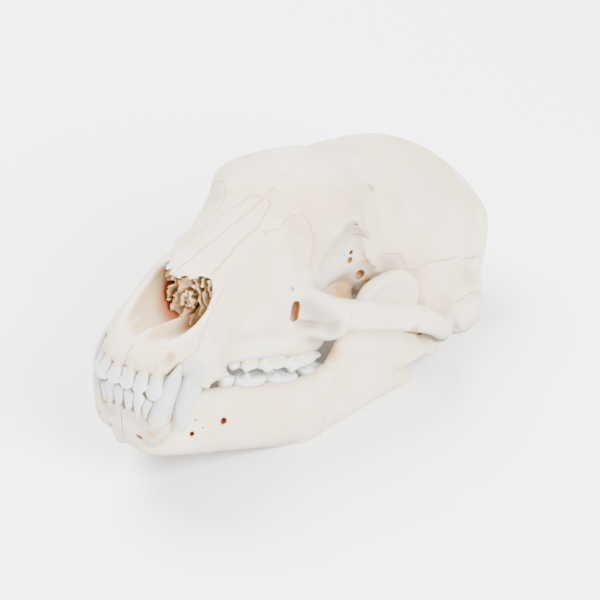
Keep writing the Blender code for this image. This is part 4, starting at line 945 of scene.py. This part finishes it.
def undersideShade(clay, places, start=0.15):
    # painted shade: towards 1 where the skin faces the ground, from a little above its upright parts
    up = np.array(placeHead.to_3x3().transposed() @ Vector((0, 0, 1)))
    return np.clip(start - clay.slope(places) @ (up / np.linalg.norm(up)), 0, 1)


def markBone(obj, unopened, room, skin, margin=0.0, deepest=8):
    # how deep in a hole each place lies, how far in a hollow, and how much it faces the ground: all painted
    # shade
    places = vertexPlaces(obj)
    setAttribute(obj, "depth", np.clip(-unopened.sample(places) - margin, 0, deepest))
    setAttribute(obj, "hollowShade", hollowShade(room, folded(places)))
    setAttribute(obj, "under", undersideShade(skin, places))
    setAttribute(obj, "nose", np.full(len(places), -1.0))


def folded(places):
    # the same places on the left side
    return np.abs(places) * (1, 0, 0) + places * (0, 1, 1)


def firstSeen(pixel, blocks):
    # the place on the nearest of several skins that a pixel shows
    places = [block.seen(pixel) for block in blocks]
    hits = [place for place, block in zip(places, blocks) if block.sample(place[None])[0] < 0.5]
    return min(hits or places, key=lambda place: np.linalg.norm(place - pixelRay(pixel)[0]))


def spots(places, marks):
    # soft round marks about places on the skin
    total = np.zeros(len(places))
    for centre, radius, strength in marks:
        total += strength * np.exp(-((np.linalg.norm(places - centre, axis=1) / radius) ** 2))
    return total


craniumBlock, cheekBlock, craniumUnopened = craniumClay()
whole = craniumBlock.mirrored()
wholeUnopened = craniumUnopened.mirrored()
courses = []
for seed, (name, pixels, sway, wave, strength) in enumerate(cranium["sutures"]):
    course = wandering(whole, pixels, sway, wave, seed, name in cranium["midline"])
    courses.append((course, strength))
    if name not in cranium["midline"]:
        courses.append((course * (-1, 1, 1), strength))
skull = smoothObject("skullBone", largestShell(*whole.skin()), cranium["triangles"])
engrave(skull, whole, courses, cranium["seamWidth"], cranium["seamDepth"])
report(f"sutures: {len(skull.data.polygons)} faces")
cheekLeft = smoothObject("cheekBoneLeft", largestShell(*cheekBlock.skin()), cranium["cheekTriangles"])
jawBlock, jawUnopened = jawClay()
jawLeft = smoothObject("jawBoneLeft", largestShell(*jawBlock.skin()), jaw["triangles"])

craniumRoom = craniumBlock.copy()
craniumRoom.values = np.minimum(craniumBlock.values, cheekBlock.values)
markBone(skull, wholeUnopened, craniumRoom, whole)
markBone(jawLeft, jawUnopened, jawBlock, jawBlock)
markBone(cheekLeft, craniumUnopened, craniumRoom, craniumRoom, 1.0)

# the nose passage: its rear end, its floor, how deep under the unopened skin it starts, and where on its
# right wall the red begins as y and z, with that edge's lean, its softness, and its reach past the middle
noseShade = {"rear": 96, "floor": 10.5, "deep": 0.4, "redFrom": (43, 18), "lean": 0.35, "soft": 9,
             "past": 5, "pastSoft": 3}


def markNose(obj, look):
    # how far behind the rim each place in the nose lies, and how red it is
    x, y, z = vertexPlaces(obj).T
    rimY, rimZ = np.array(cranium["notch"][:-2]).T
    behind = np.maximum(y - np.interp(z, rimZ, np.maximum(rimY, 4)), 0)
    inside = (y < look["rear"]) & (z > look["floor"])
    inside &= wholeUnopened.sample(np.column_stack((x, y, z))) < -look["deep"]
    startY, startZ = look["redFrom"]
    red = np.clip((y - startY - look["lean"] * (z - startZ)) / look["soft"], 0, 1)
    red *= np.clip((look["past"] - x) / look["pastSoft"], 0, 1)
    setAttribute(obj, "nose", np.where(inside, behind, -1))
    setAttribute(obj, "red", np.where(inside, red, 0))


markNose(skull, noseShade)

# real stains and painted shade as pixel, radius and strength
stainsAndShades = {
    # warm: real stains, and painted shade in crevices, slits, gaps and deep hollows
    "warm": (
        ((170.5, 357), 2.6, 1.3), ((125.5, 366), 2, 0.9), ((158, 347), 9, 0.32), ((185, 322), 6, 0.3),
        ((344, 283), 5, 0.8), ((342, 292), 6, 1.1), ((338, 296), 5, 1), ((351, 292), 4, 0.6),
        ((364, 284), 4.5, 1.2), ((368, 278), 3.5, 0.9), ((359, 264), 5, 0.5), ((364, 254), 2.2, 0.5),
        ((368, 261), 2.2, 0.6), ((373, 268), 2.5, 0.7), ((445, 311), 4, 0.5), ((470, 294), 3, 0.5),
        ((152, 435), 3.2, 1.2), ((171, 423), 4, 0.6), ((118, 420), 2.5, 0.4), ((120, 437), 2.5, 0.4),
        ((333, 354), 6, 0.8), ((413, 331), 4, 1.2), ((430, 338), 6, 0.4), ((212, 386), 4, 0.7),
        ((339, 331), 3.5, 0.5), ((455, 320), 9, 0.2)),
    # cool: painted shade under the cheek, the brow, the chin and the arch's rear end, and a grey spot on the
    # dome
    "cool": (
        ((371, 188), 2.6, 1.3), ((306, 305), 6, 0.7), ((320, 315), 7, 0.9), ((333, 326), 6, 1),
        ((350, 331), 5, 0.5), ((346, 230), 5, 0.9), ((354, 227), 4, 0.8), ((366, 237), 3, 0.9),
        ((135, 418), 6, 0.4), ((152, 420), 6, 0.5), ((167, 423), 4, 1.3), ((158, 430), 4, 0.6),
        ((425, 334), 5, 0.8), ((438, 339), 5, 1.2), ((448, 345), 5, 0.7)),
    "pale": (
        ((194, 360), 6, 0.8), ((200, 376), 6, 1), ((192, 372), 5, 0.8), ((135, 415), 7, 0.9),
        ((150, 420), 7, 0.9), ((162, 428), 5, 0.7)),
}
for kind, marks in stainsAndShades.items():
    marks = [(firstSeen(pixel, (craniumRoom, jawBlock)), *rest) for pixel, *rest in marks]
    for obj in (skull, jawLeft, cheekLeft):
        setAttribute(obj, kind, spots(vertexPlaces(obj), marks))
report("depths and stains")


def toothClay(skins):
    low = np.min([skin[0].min(0) for skin, _ in skins], axis=0)
    high = np.max([skin[0].max(0) for skin, _ in skins], axis=0)
    clay = Clay(low - 2, high + 2, teeth["step"])
    for skin, blend in skins:
        clay.add(skin, blend)
    return clay


def cheekTooth(row, up):
    x, y, gum, length, width, height, turn, cusps = row
    levels = [(gum + up * depth, scale) for depth, scale in teeth["root"]]
    levels += [(gum + up * share * height, scale) for share, scale in teeth["crown"]]
    skins = [(loft([toothRing(x, y, length * scale, width * scale, turn, z) for z, scale in levels]), 0.5)]
    angle = math.radians(turn)
    along = np.array((math.sin(angle), math.cos(angle)))
    across = np.array((math.cos(angle), -math.sin(angle)))
    for u, v, tall, radius in cusps:
        foot = (np.array((x, y)) + along * (u * length / 2 * teeth["cuspReach"][0])
                + across * (v * width / 2 * teeth["cuspReach"][1]))
        tip = gum + up * height * tall
        raised = up * height * teeth["cuspFoot"]
        heights = (gum + raised, (gum + tip) / 2 + raised, tip - up * height * teeth["cuspShoulder"], tip)
        wide, deep = (np.array(shares) * radius * width for shares in teeth["cuspBreadths"])
        skins.append((rod([(*foot, z) for z in heights], wide, deep, (*along, 0), around=24), 1.0))
    return toothClay(skins)


def frontTooth(row, up, lobed):
    # a chisel with a lobe on one side or both
    x, y, gum, width, depth, height, lean = row
    level, wide, deep, leant = np.array(teeth["blade"]).T
    path = np.column_stack((np.full(len(level), x), y + lean * leant, gum + up * height * level))
    skins = [(rod(path, width * wide, depth * deep, (1, 0, 0), power=2.3), 0.5)]
    lobe = teeth["lobe"]
    for side in lobed:
        centre = (x + side * lobe["aside"] * width, y + lobe["lean"] * lean, gum + up * lobe["up"] * height)
        skins.append((ball(centre, np.array(lobe["radii"]) * (width, depth, height)), 1.0))
    return toothClay(skins)


def fangClay(rows):
    # a canine with a low ridge along its inner side
    clay = toothClay([(fang(rows), 0.5)])
    x, y, z, width, depth = np.array(rows)[1:-1].T
    ridge = teeth["fangRidge"]
    path = np.column_stack((x - depth * ridge["inwards"], y + width * ridge["back"], z))
    clay.crease(path, ridge["width"], ridge["height"])
    return clay


def joinedSkins(clays, bothSides):
    points, threes, fours, count = [], [], [], 0
    for clay in clays:
        skin = largestShell(*clay.skin())
        mirror = (skin[0] * (-1, 1, 1), skin[1][:, ::-1], skin[2][:, ::-1])
        for p, t, q in (skin, mirror) if bothSides else (skin,):
            points.append(p)
            threes.append(t.astype(int) + count)
            fours.append(q.astype(int) + count)
            count += len(p)
    return np.vstack(points), np.vstack(threes), np.vstack(fours)


def toothRow(name, row, up, lobes, triangles):
    # the teeth of the upper jaw, or those of the lower jaw's left half
    cheeks = teeth[row + "Cheek"]
    clays = [cheekTooth(tooth, up) for tooth in cheeks]
    clays += [frontTooth(tooth, up, lobed) for tooth, lobed in zip(teeth[row + "Front"], lobes)]
    clays.append(fangClay(teeth[row + "Canine"]))
    obj = smoothObject(name, joinedSkins(clays, up < 0), triangles)
    places = vertexPlaces(obj)
    start, fade = teeth["frontFrom"]
    front = np.clip((start - places[:, 1]) / fade, 0, 1)
    gum = np.interp(places[:, 1], [tooth[1] for tooth in cheeks], [tooth[2] for tooth in cheeks])
    line = gum + (teeth["frontGum"][up] - gum) * front
    setAttribute(obj, "crown", up * (places[:, 2] - line))
    # painted shade between neighbouring teeth: how near each place lies to another tooth
    away = [clay.sample(folded(places) * side) for clay in clays for side in ((1, 1, 1), (-1, 1, 1))]
    setAttribute(obj, "gap", np.clip(1 - np.partition(away, 1, axis=0)[1] / teeth["gapReach"], 0, 1))
    # which places belong to a canine, for its darker grey of painted shade
    setAttribute(obj, "fang", np.argmin(away, axis=0) // 2 == len(clays) - 1)
    return obj


upperTeeth = toothRow("upperTeeth", "upper", -1, ((1, -1), (1, -1), (1,)), teeth["upperTriangles"])
lowerTeethLeft = toothRow("lowerTeethLeft", "lower", 1, ((1,), (1,), (1,)), teeth["lowerTriangles"])


class Wire:
    # one output of a node, or none, that plain maths can be written with
    def __init__(self, tree, socket=None):
        self.tree = tree
        self.socket = socket

    def make(self, kind, inputs=(), output=0, **settings):
        node = self.tree.nodes.new(kind)
        for key, value in settings.items():
            setattr(node, key, value)
        for key, value in dict(inputs).items():
            if isinstance(value, Wire):
                self.tree.links.new(value.socket, node.inputs[key])
            else:
                node.inputs[key].default_value = value
        return Wire(self.tree, node.outputs[output])

    def into(self, node, name):
        self.tree.links.new(self.socket, node.inputs[name])

    def maths(self, operation, *values):
        return self.make("ShaderNodeMath", dict(enumerate(values)), operation=operation)

    def __add__(self, other):
        return self.maths("ADD", self, other)

    def __sub__(self, other):
        return self.maths("SUBTRACT", self, other)

    def __rsub__(self, other):
        return self.maths("SUBTRACT", other, self)

    def __mul__(self, other):
        return self.maths("MULTIPLY", self, other)

    def __truediv__(self, other):
        return self.maths("DIVIDE", self, other)

    def __rtruediv__(self, other):
        return self.maths("DIVIDE", other, self)

    def __pow__(self, other):
        return self.maths("POWER", self, other)

    def __rpow__(self, other):
        return self.maths("POWER", other, self)

    def __abs__(self):
        return self.maths("ABSOLUTE", self)

    __radd__ = __add__
    __rmul__ = __mul__

    def between(self, low, high):
        # a smooth rise from 0 at low to 1 at high
        return self.make("ShaderNodeMapRange", {0: self, 1: low, 2: high, 3: 0.0, 4: 1.0},
                         interpolation_type="SMOOTHSTEP")

    def colour(self, first, second):
        # first where this value is 0 and second where it is 1
        return self.make("ShaderNodeMix", {0: self, 6: first, 7: second}, 2, data_type="RGBA")

    def noise(self, place, scale, detail, seed=None):
        inputs = {"Vector": place, "Scale": scale, "Detail": detail}
        if seed is None:
            return self.make("ShaderNodeTexNoise", inputs)
        return self.make("ShaderNodeTexNoise", {**inputs, "W": seed}, noise_dimensions="4D")

    def marked(self, names):
        # the values that a piece's attributes hold
        return {name: self.make("ShaderNodeAttribute", output=2, attribute_name=name) for name in names}


def finish(name):
    # a material, its shader, a start for wires and the place on the piece
    material = bpy.data.materials.new(name)
    material.use_nodes = True
    wire = Wire(material.node_tree)
    place = wire.make("ShaderNodeTexCoord", output=3)
    return material, material.node_tree.nodes["Principled BSDF"], wire, place


def glow(shader, weight, radius):
    # light that goes a little way into the piece, its reach in metres for red, green and blue
    shader.inputs["Subsurface Weight"].default_value = weight
    shader.inputs["Subsurface Radius"].default_value = radius
    shader.inputs["Subsurface Scale"].default_value = 1.0


boneLook = {
    "ivory": (0.67, 0.60, 0.48, 1), "cream": (0.65, 0.515, 0.32, 1), "pink": (0.63, 0.50, 0.38, 1),
    "white": (0.69, 0.66, 0.60, 1), "seam": (0.38, 0.22, 0.09, 1), "tan": (0.46, 0.25, 0.09, 1),
    # stain colours the warm marks, real stains and painted shade alike
    "deep": (0.32, 0.12, 0.035, 1), "darkest": (0.09, 0.02, 0.007, 1), "stain": (0.46, 0.265, 0.10, 1),
    # grey colours the cool marks, painted shade but for one spot
    "grey": (0.31, 0.27, 0.22, 1), "pale": (0.44, 0.445, 0.435, 1), "noseWall": (0.58, 0.45, 0.27, 1),
    # hollow and under are painted shade, for the bone in hollows and for skin that faces the ground
    "noseDeep": (0.42, 0.13, 0.05, 1), "hollow": (0.37, 0.255, 0.145, 1), "under": (0.36, 0.305, 0.24, 1),
    # noises as scale and detail
    "noises": {"broad": (28.0, 2.0), "cloud": (46.0, 3.0), "middle": (75.0, 4.0), "grain": (260.0, 4.0),
               "fine": (900.0, 3.0)},
    # tints over the ivory: a noise or a mark, where it starts and is full, its strength, its colour
    "tints": (("broad", 0.40, 0.64, 0.8, "cream"), ("middle", 0.48, 0.66, 0.55, "pink"),
              ("cloud", 0.48, 0.66, 0.7, "white"), ("grain", 0.52, 0.75, 0.25, "cream"),
              # the last two tints are painted shade, on skin that faces the ground and in hollows
              ("under", 0.0, 0.9, 0.85, "under"), ("hollowShade", 0.25, 0.95, 0.9, "hollow")),
    # depths in a hole in millimetres, and the colour there, darker further in as painted shade
    "holes": ((0.9, 2.6, "tan"), (2.4, 5.0, "deep"), (5.0, 8.0, "darkest")),
    # stains and painted shade: the mark, the noise that breaks it up and how, where it starts and is full,
    # its colour
    "stainsAndShades": (("pale", "middle", 0.6, 0.6, 0.0, 1.2, "pale"), ("warm", "grain", 0.6, 0.6, 0.1, 0.9, "stain"),
               ("cool", "middle", 0.5, 1.0, 0.0, 1.1, "grey")),
    # the nose's colours fade in behind the rim, and start at its edge; a seam's edge, and how the
    # grain breaks it up
    "noseFade": (-0.5, 4.0), "noseEdge": (-0.6, -0.2), "seamEdge": (0.08, 0.9), "seamBroken": (0.55, 0.6),
    "roughness": (0.42, 0.25), "bump": {"Strength": 0.12, "Distance": 0.0006},
    "glow": (0.05, (0.004, 0.002, 0.001)),
}


def boneFinish():
    material, shader, wire, place = finish("bone")
    value = {name: wire.noise(place, *given) for name, given in boneLook["noises"].items()}
    value.update(wire.marked(("seam", "depth", "nose", "red", "warm", "cool", "pale", "hollowShade", "under")))
    tone = boneLook["ivory"]
    for name, start, full, strength, colour in boneLook["tints"]:
        tone = (value[name].between(start, full) * strength).colour(tone, boneLook[colour])
    # painted shade: the bone darkens with its depth in a hole
    hole = tone
    for start, full, colour in boneLook["holes"]:
        hole = value["depth"].between(start, full).colour(hole, boneLook[colour])
    nose = value["nose"].between(*boneLook["noseFade"]).colour(tone, boneLook["noseWall"])
    nose = value["red"].colour(nose, boneLook["noseDeep"])
    tone = value["nose"].between(*boneLook["noseEdge"]).colour(hole, nose)
    # the marks: real stains and pale patches, and painted shade
    for name, noise, base, share, start, full, colour in boneLook["stainsAndShades"]:
        mask = value[name] * (base + value[noise] * share)
        tone = mask.between(start, full).colour(tone, boneLook[colour])
    base, share = boneLook["seamBroken"]
    seam = value["seam"].between(*boneLook["seamEdge"]) * (base + value["grain"] * share)
    seam.colour(tone, boneLook["seam"]).into(shader, "Base Color")
    base, share = boneLook["roughness"]
    (base + value["grain"] * share).into(shader, "Roughness")
    height = value["fine"] * 0.5 + value["grain"] + value["middle"]
    wire.make("ShaderNodeBump", {"Height": height, **boneLook["bump"]}).into(shader, "Normal")
    glow(shader, *boneLook["glow"])
    return material


toothLook = {
    "white": (0.58, 0.59, 0.595, 1), "tip": (0.68, 0.685, 0.685, 1), "root": (0.60, 0.50, 0.33, 1),
    "fang": (0.46, 0.475, 0.505, 1), "gap": (0.26, 0.155, 0.07, 1),
    # heights over the gum where the tip's white starts and is full, and where the root's colour ends
    "tipFrom": (2.0, 9.0), "neck": (-0.6, 1.8), "streaks": (420.0, 3.0),
    # how the streaks break up a fang's grey, which is painted shade, and the root's colour, and where
    # the shade in a gap starts and is full, with how much less there is of it at the tips
    "fangBroken": (0.7, 0.4), "rootBroken": (0.5, 0.8), "gapFrom": (0.1, 1.0), "gapAtTip": 0.7,
    "roughness": (0.18, 0.2), "bump": {"Strength": 0.08, "Distance": 0.0004},
    "glow": (0.1, (0.002, 0.0016, 0.0014)),
}


def toothFinish():
    material, shader, wire, place = finish("enamel")
    value = wire.marked(("crown", "fang", "gap"))
    streaks = wire.noise(place, *toothLook["streaks"])
    tips = value["crown"].between(*toothLook["tipFrom"])
    tone = tips.colour(toothLook["white"], toothLook["tip"])
    # painted shade: the canines' darker grey
    base, share = toothLook["fangBroken"]
    tone = (value["fang"] * (base + streaks * share)).colour(tone, toothLook["fang"])
    base, share = toothLook["rootBroken"]
    neck = (1.0 - value["crown"].between(*toothLook["neck"])) * (base + streaks * share)
    tone = neck.colour(tone, toothLook["root"])
    gap = value["gap"].between(*toothLook["gapFrom"]) * (1.0 - tips * toothLook["gapAtTip"])
    gap.colour(tone, toothLook["gap"]).into(shader, "Base Color")
    base, share = toothLook["roughness"]
    (base + streaks * share).into(shader, "Roughness")
    wire.make("ShaderNodeBump", {"Height": streaks, **toothLook["bump"]}).into(shader, "Normal")
    glow(shader, *toothLook["glow"])
    return material


scrolls = {
    "low": (-18.0, 36.0, 14.0), "high": (18.0, 88.0, 57.0), "triangles": 120000,
    "inputs": {"Wave": 0.11, "Sheet": 0.125, "Fold": 3.2, "Ragged": 16.0, "Seed": 3.0, "Resolution": 84},
    # leaves to a millimetre across and upwards, the folds' stretch, and how much finer their edge is
    "leaves": (0.16, 0.06), "stretch": (1.0, 0.5, 1.0), "edgeWave": 1.7,
    # the room that they fill: half its width, half its height, its middle and its top, how its front
    # leans back under the top and across, and half the cleft in the middle
    "halfWidth": 17.5, "halfHeight": 20.0, "middle": 34.0, "top": 56.0, "leanBack": 0.20, "leanAcross": 0.1,
    "cleft": 0.8,
    # how fast the bone thins out in front and at the cleft
    "frontFade": 0.1, "cleftFade": 0.3,
    "dark": (0.58, 0.39, 0.20, 1), "light": (0.78, 0.61, 0.40, 1), "mottle": (240.0, 3.0),
    "mottleEdge": (0.35, 0.65), "roughness": 0.6,
}


def scrollTree():
    # thin rolled sheets of bone that fill the nose passage but for a cleft in the middle
    tree = bpy.data.node_groups.new("scrolls", "GeometryNodeTree")
    kinds = {"Resolution": "NodeSocketInt", "Material": "NodeSocketMaterial"}
    for name in (*scrolls["inputs"], "Material"):
        tree.interface.new_socket(name, in_out="INPUT", socket_type=kinds.get(name, "NodeSocketFloat"))
    tree.interface.new_socket("Geometry", in_out="OUTPUT", socket_type="NodeSocketGeometry")
    wire = Wire(tree)
    given = tree.nodes.new("NodeGroupInput")
    wave, sheet, fold, ragged, seed, resolution, look = (Wire(tree, given.outputs[k]) for k in range(7))
    place = wire.make("GeometryNodeInputPosition")
    x, y, z = (wire.make("ShaderNodeSeparateXYZ", {0: place}, k) for k in range(3))
    stretched = wire.make("ShaderNodeVectorMath", {0: place, 1: scrolls["stretch"]}, operation="MULTIPLY")
    folds = wire.noise(stretched, wave, 2.0, seed)
    edges = wire.noise(place, wave * scrolls["edgeWave"], 2.0, seed)
    # leaves stand side by side and are bent by the noise
    across, upwards = scrolls["leaves"]
    layer = wire.maths("FRACT", abs(x) * across + z * upwards + folds * fold)
    thin = sheet - abs(layer - 0.5)
    room = 1.0 - (x / scrolls["halfWidth"]) ** 2.0 - ((z - scrolls["middle"]) / scrolls["halfHeight"]) ** 2.0
    front = (y - scrolls["low"][1] - (scrolls["top"] - z) * scrolls["leanBack"]
             + x * scrolls["leanAcross"] - edges * ragged) * scrolls["frontFade"]
    density = (abs(x) - scrolls["cleft"]) * scrolls["cleftFade"]
    for limit in (front, room, thin):
        density = wire.maths("MINIMUM", limit, density)
    block = wire.make("GeometryNodeVolumeCube", {
        "Density": density, "Background": -1.0, "Min": scrolls["low"], "Max": scrolls["high"],
        "Resolution X": resolution, "Resolution Y": resolution, "Resolution Z": resolution})
    mesh = wire.make("GeometryNodeVolumeToMesh", {"Volume": block, "Threshold": 0.0})
    smooth = wire.make("GeometryNodeSetShadeSmooth", {"Geometry": mesh})
    real = wire.make("GeometryNodeRealizeInstances", {"Geometry": smooth})
    painted = wire.make("GeometryNodeSetMaterial", {"Geometry": real, "Material": look})
    painted.into(tree.nodes.new("NodeGroupOutput"), 0)
    return tree


def scrollFinish():
    material, shader, wire, place = finish("turbinateBone")
    mottle = wire.noise(place, *scrolls["mottle"]).between(*scrolls["mottleEdge"])
    mottle.colour(scrolls["dark"], scrolls["light"]).into(shader, "Base Color")
    shader.inputs["Roughness"].default_value = scrolls["roughness"]
    return material


def turbinates(material):
    tree = scrollTree()
    obj = linked("turbinates", bpy.data.meshes.new("turbinates"))
    modifier = obj.modifiers.new("scrolls", "NODES")
    modifier.node_group = tree
    sockets = {item.name: item.identifier for item in tree.interface.items_tree if item.in_out == "INPUT"}
    for name, value in {**scrolls["inputs"], "Material": material}.items():
        modifier[sockets[name]] = value
    makePlain(obj)
    outward(obj)
    thinned(obj, scrolls["triangles"])
    report(f"turbinates: {len(obj.data.polygons)} faces")
    return obj


bone = boneFinish()
enamel = toothFinish()
jawRight = twin(jawLeft, "jawBoneRight")
cheekRight = twin(cheekLeft, "cheekBoneRight")
lowerTeethRight = twin(lowerTeethLeft, "lowerTeethRight")
rolls = turbinates(scrollFinish())
pieces = (
    (skull, bone, "cranium", "skull_bone"), (upperTeeth, enamel, "cranium", "skull_bone"),
    (rolls, None, "cranium", "skull_bone"),
    (cheekLeft, bone, "zygomatic_arch_left", "cheek_bone"),
    (cheekRight, bone, "zygomatic_arch_right", "cheek_bone"),
    (jawLeft, bone, "mandible_left", "jaw_bone"), (jawRight, bone, "mandible_right", "jaw_bone"),
    (lowerTeethLeft, enamel, "mandible_left", "jaw_bone"),
    (lowerTeethRight, enamel, "mandible_right", "jaw_bone"))
for obj, material, node, slot in pieces:
    if material:
        obj.data.materials.clear()
        obj.data.materials.append(material)
    obj.data.transform(placeHead)
    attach(obj, "root")
    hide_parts(node)

# each light as place, size and power
studio = {"floor": (0.97, 0.97, 0.97, 1), "floorRoughness": 0.9, "floorReach": 6.0, "world": 0.95,
          "aim": (0, 0, 0.04),
          "key": ((1.3, -0.45, 1.15), 0.9, 115.0), "fill": ((-0.9, 0.1, 1.5), 1.2, 115.0)}
for name in ("key", "fill"):
    place, size, power = studio[name]
    light = linked(name, bpy.data.lights.new(name, "AREA"))
    light.data.size = size
    light.data.energy = power
    light.location = place
    light.rotation_euler = (Vector(place) - Vector(studio["aim"])).to_track_quat("Z", "Y").to_euler()

floorMesh = bpy.data.meshes.new("floor")
floorMesh.from_pydata([(x * studio["floorReach"], y * studio["floorReach"], 0)
                       for x, y in ((-1, -1), (1, -1), (1, 1), (-1, 1))], [], [(0, 1, 2, 3)])
floor = linked("floor", floorMesh)
pale, paleShader, *_ = finish("paleFloor")
paleShader.inputs["Base Color"].default_value = studio["floor"]
paleShader.inputs["Roughness"].default_value = studio["floorRoughness"]
floor.data.materials.append(pale)
world = bpy.data.worlds.new("studio")
world.use_nodes = True
world.node_tree.nodes["Background"].inputs["Color"].default_value = (1, 1, 1, 1)
world.node_tree.nodes["Background"].inputs["Strength"].default_value = studio["world"]
bpy.context.scene.world = world

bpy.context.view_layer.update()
report("done")
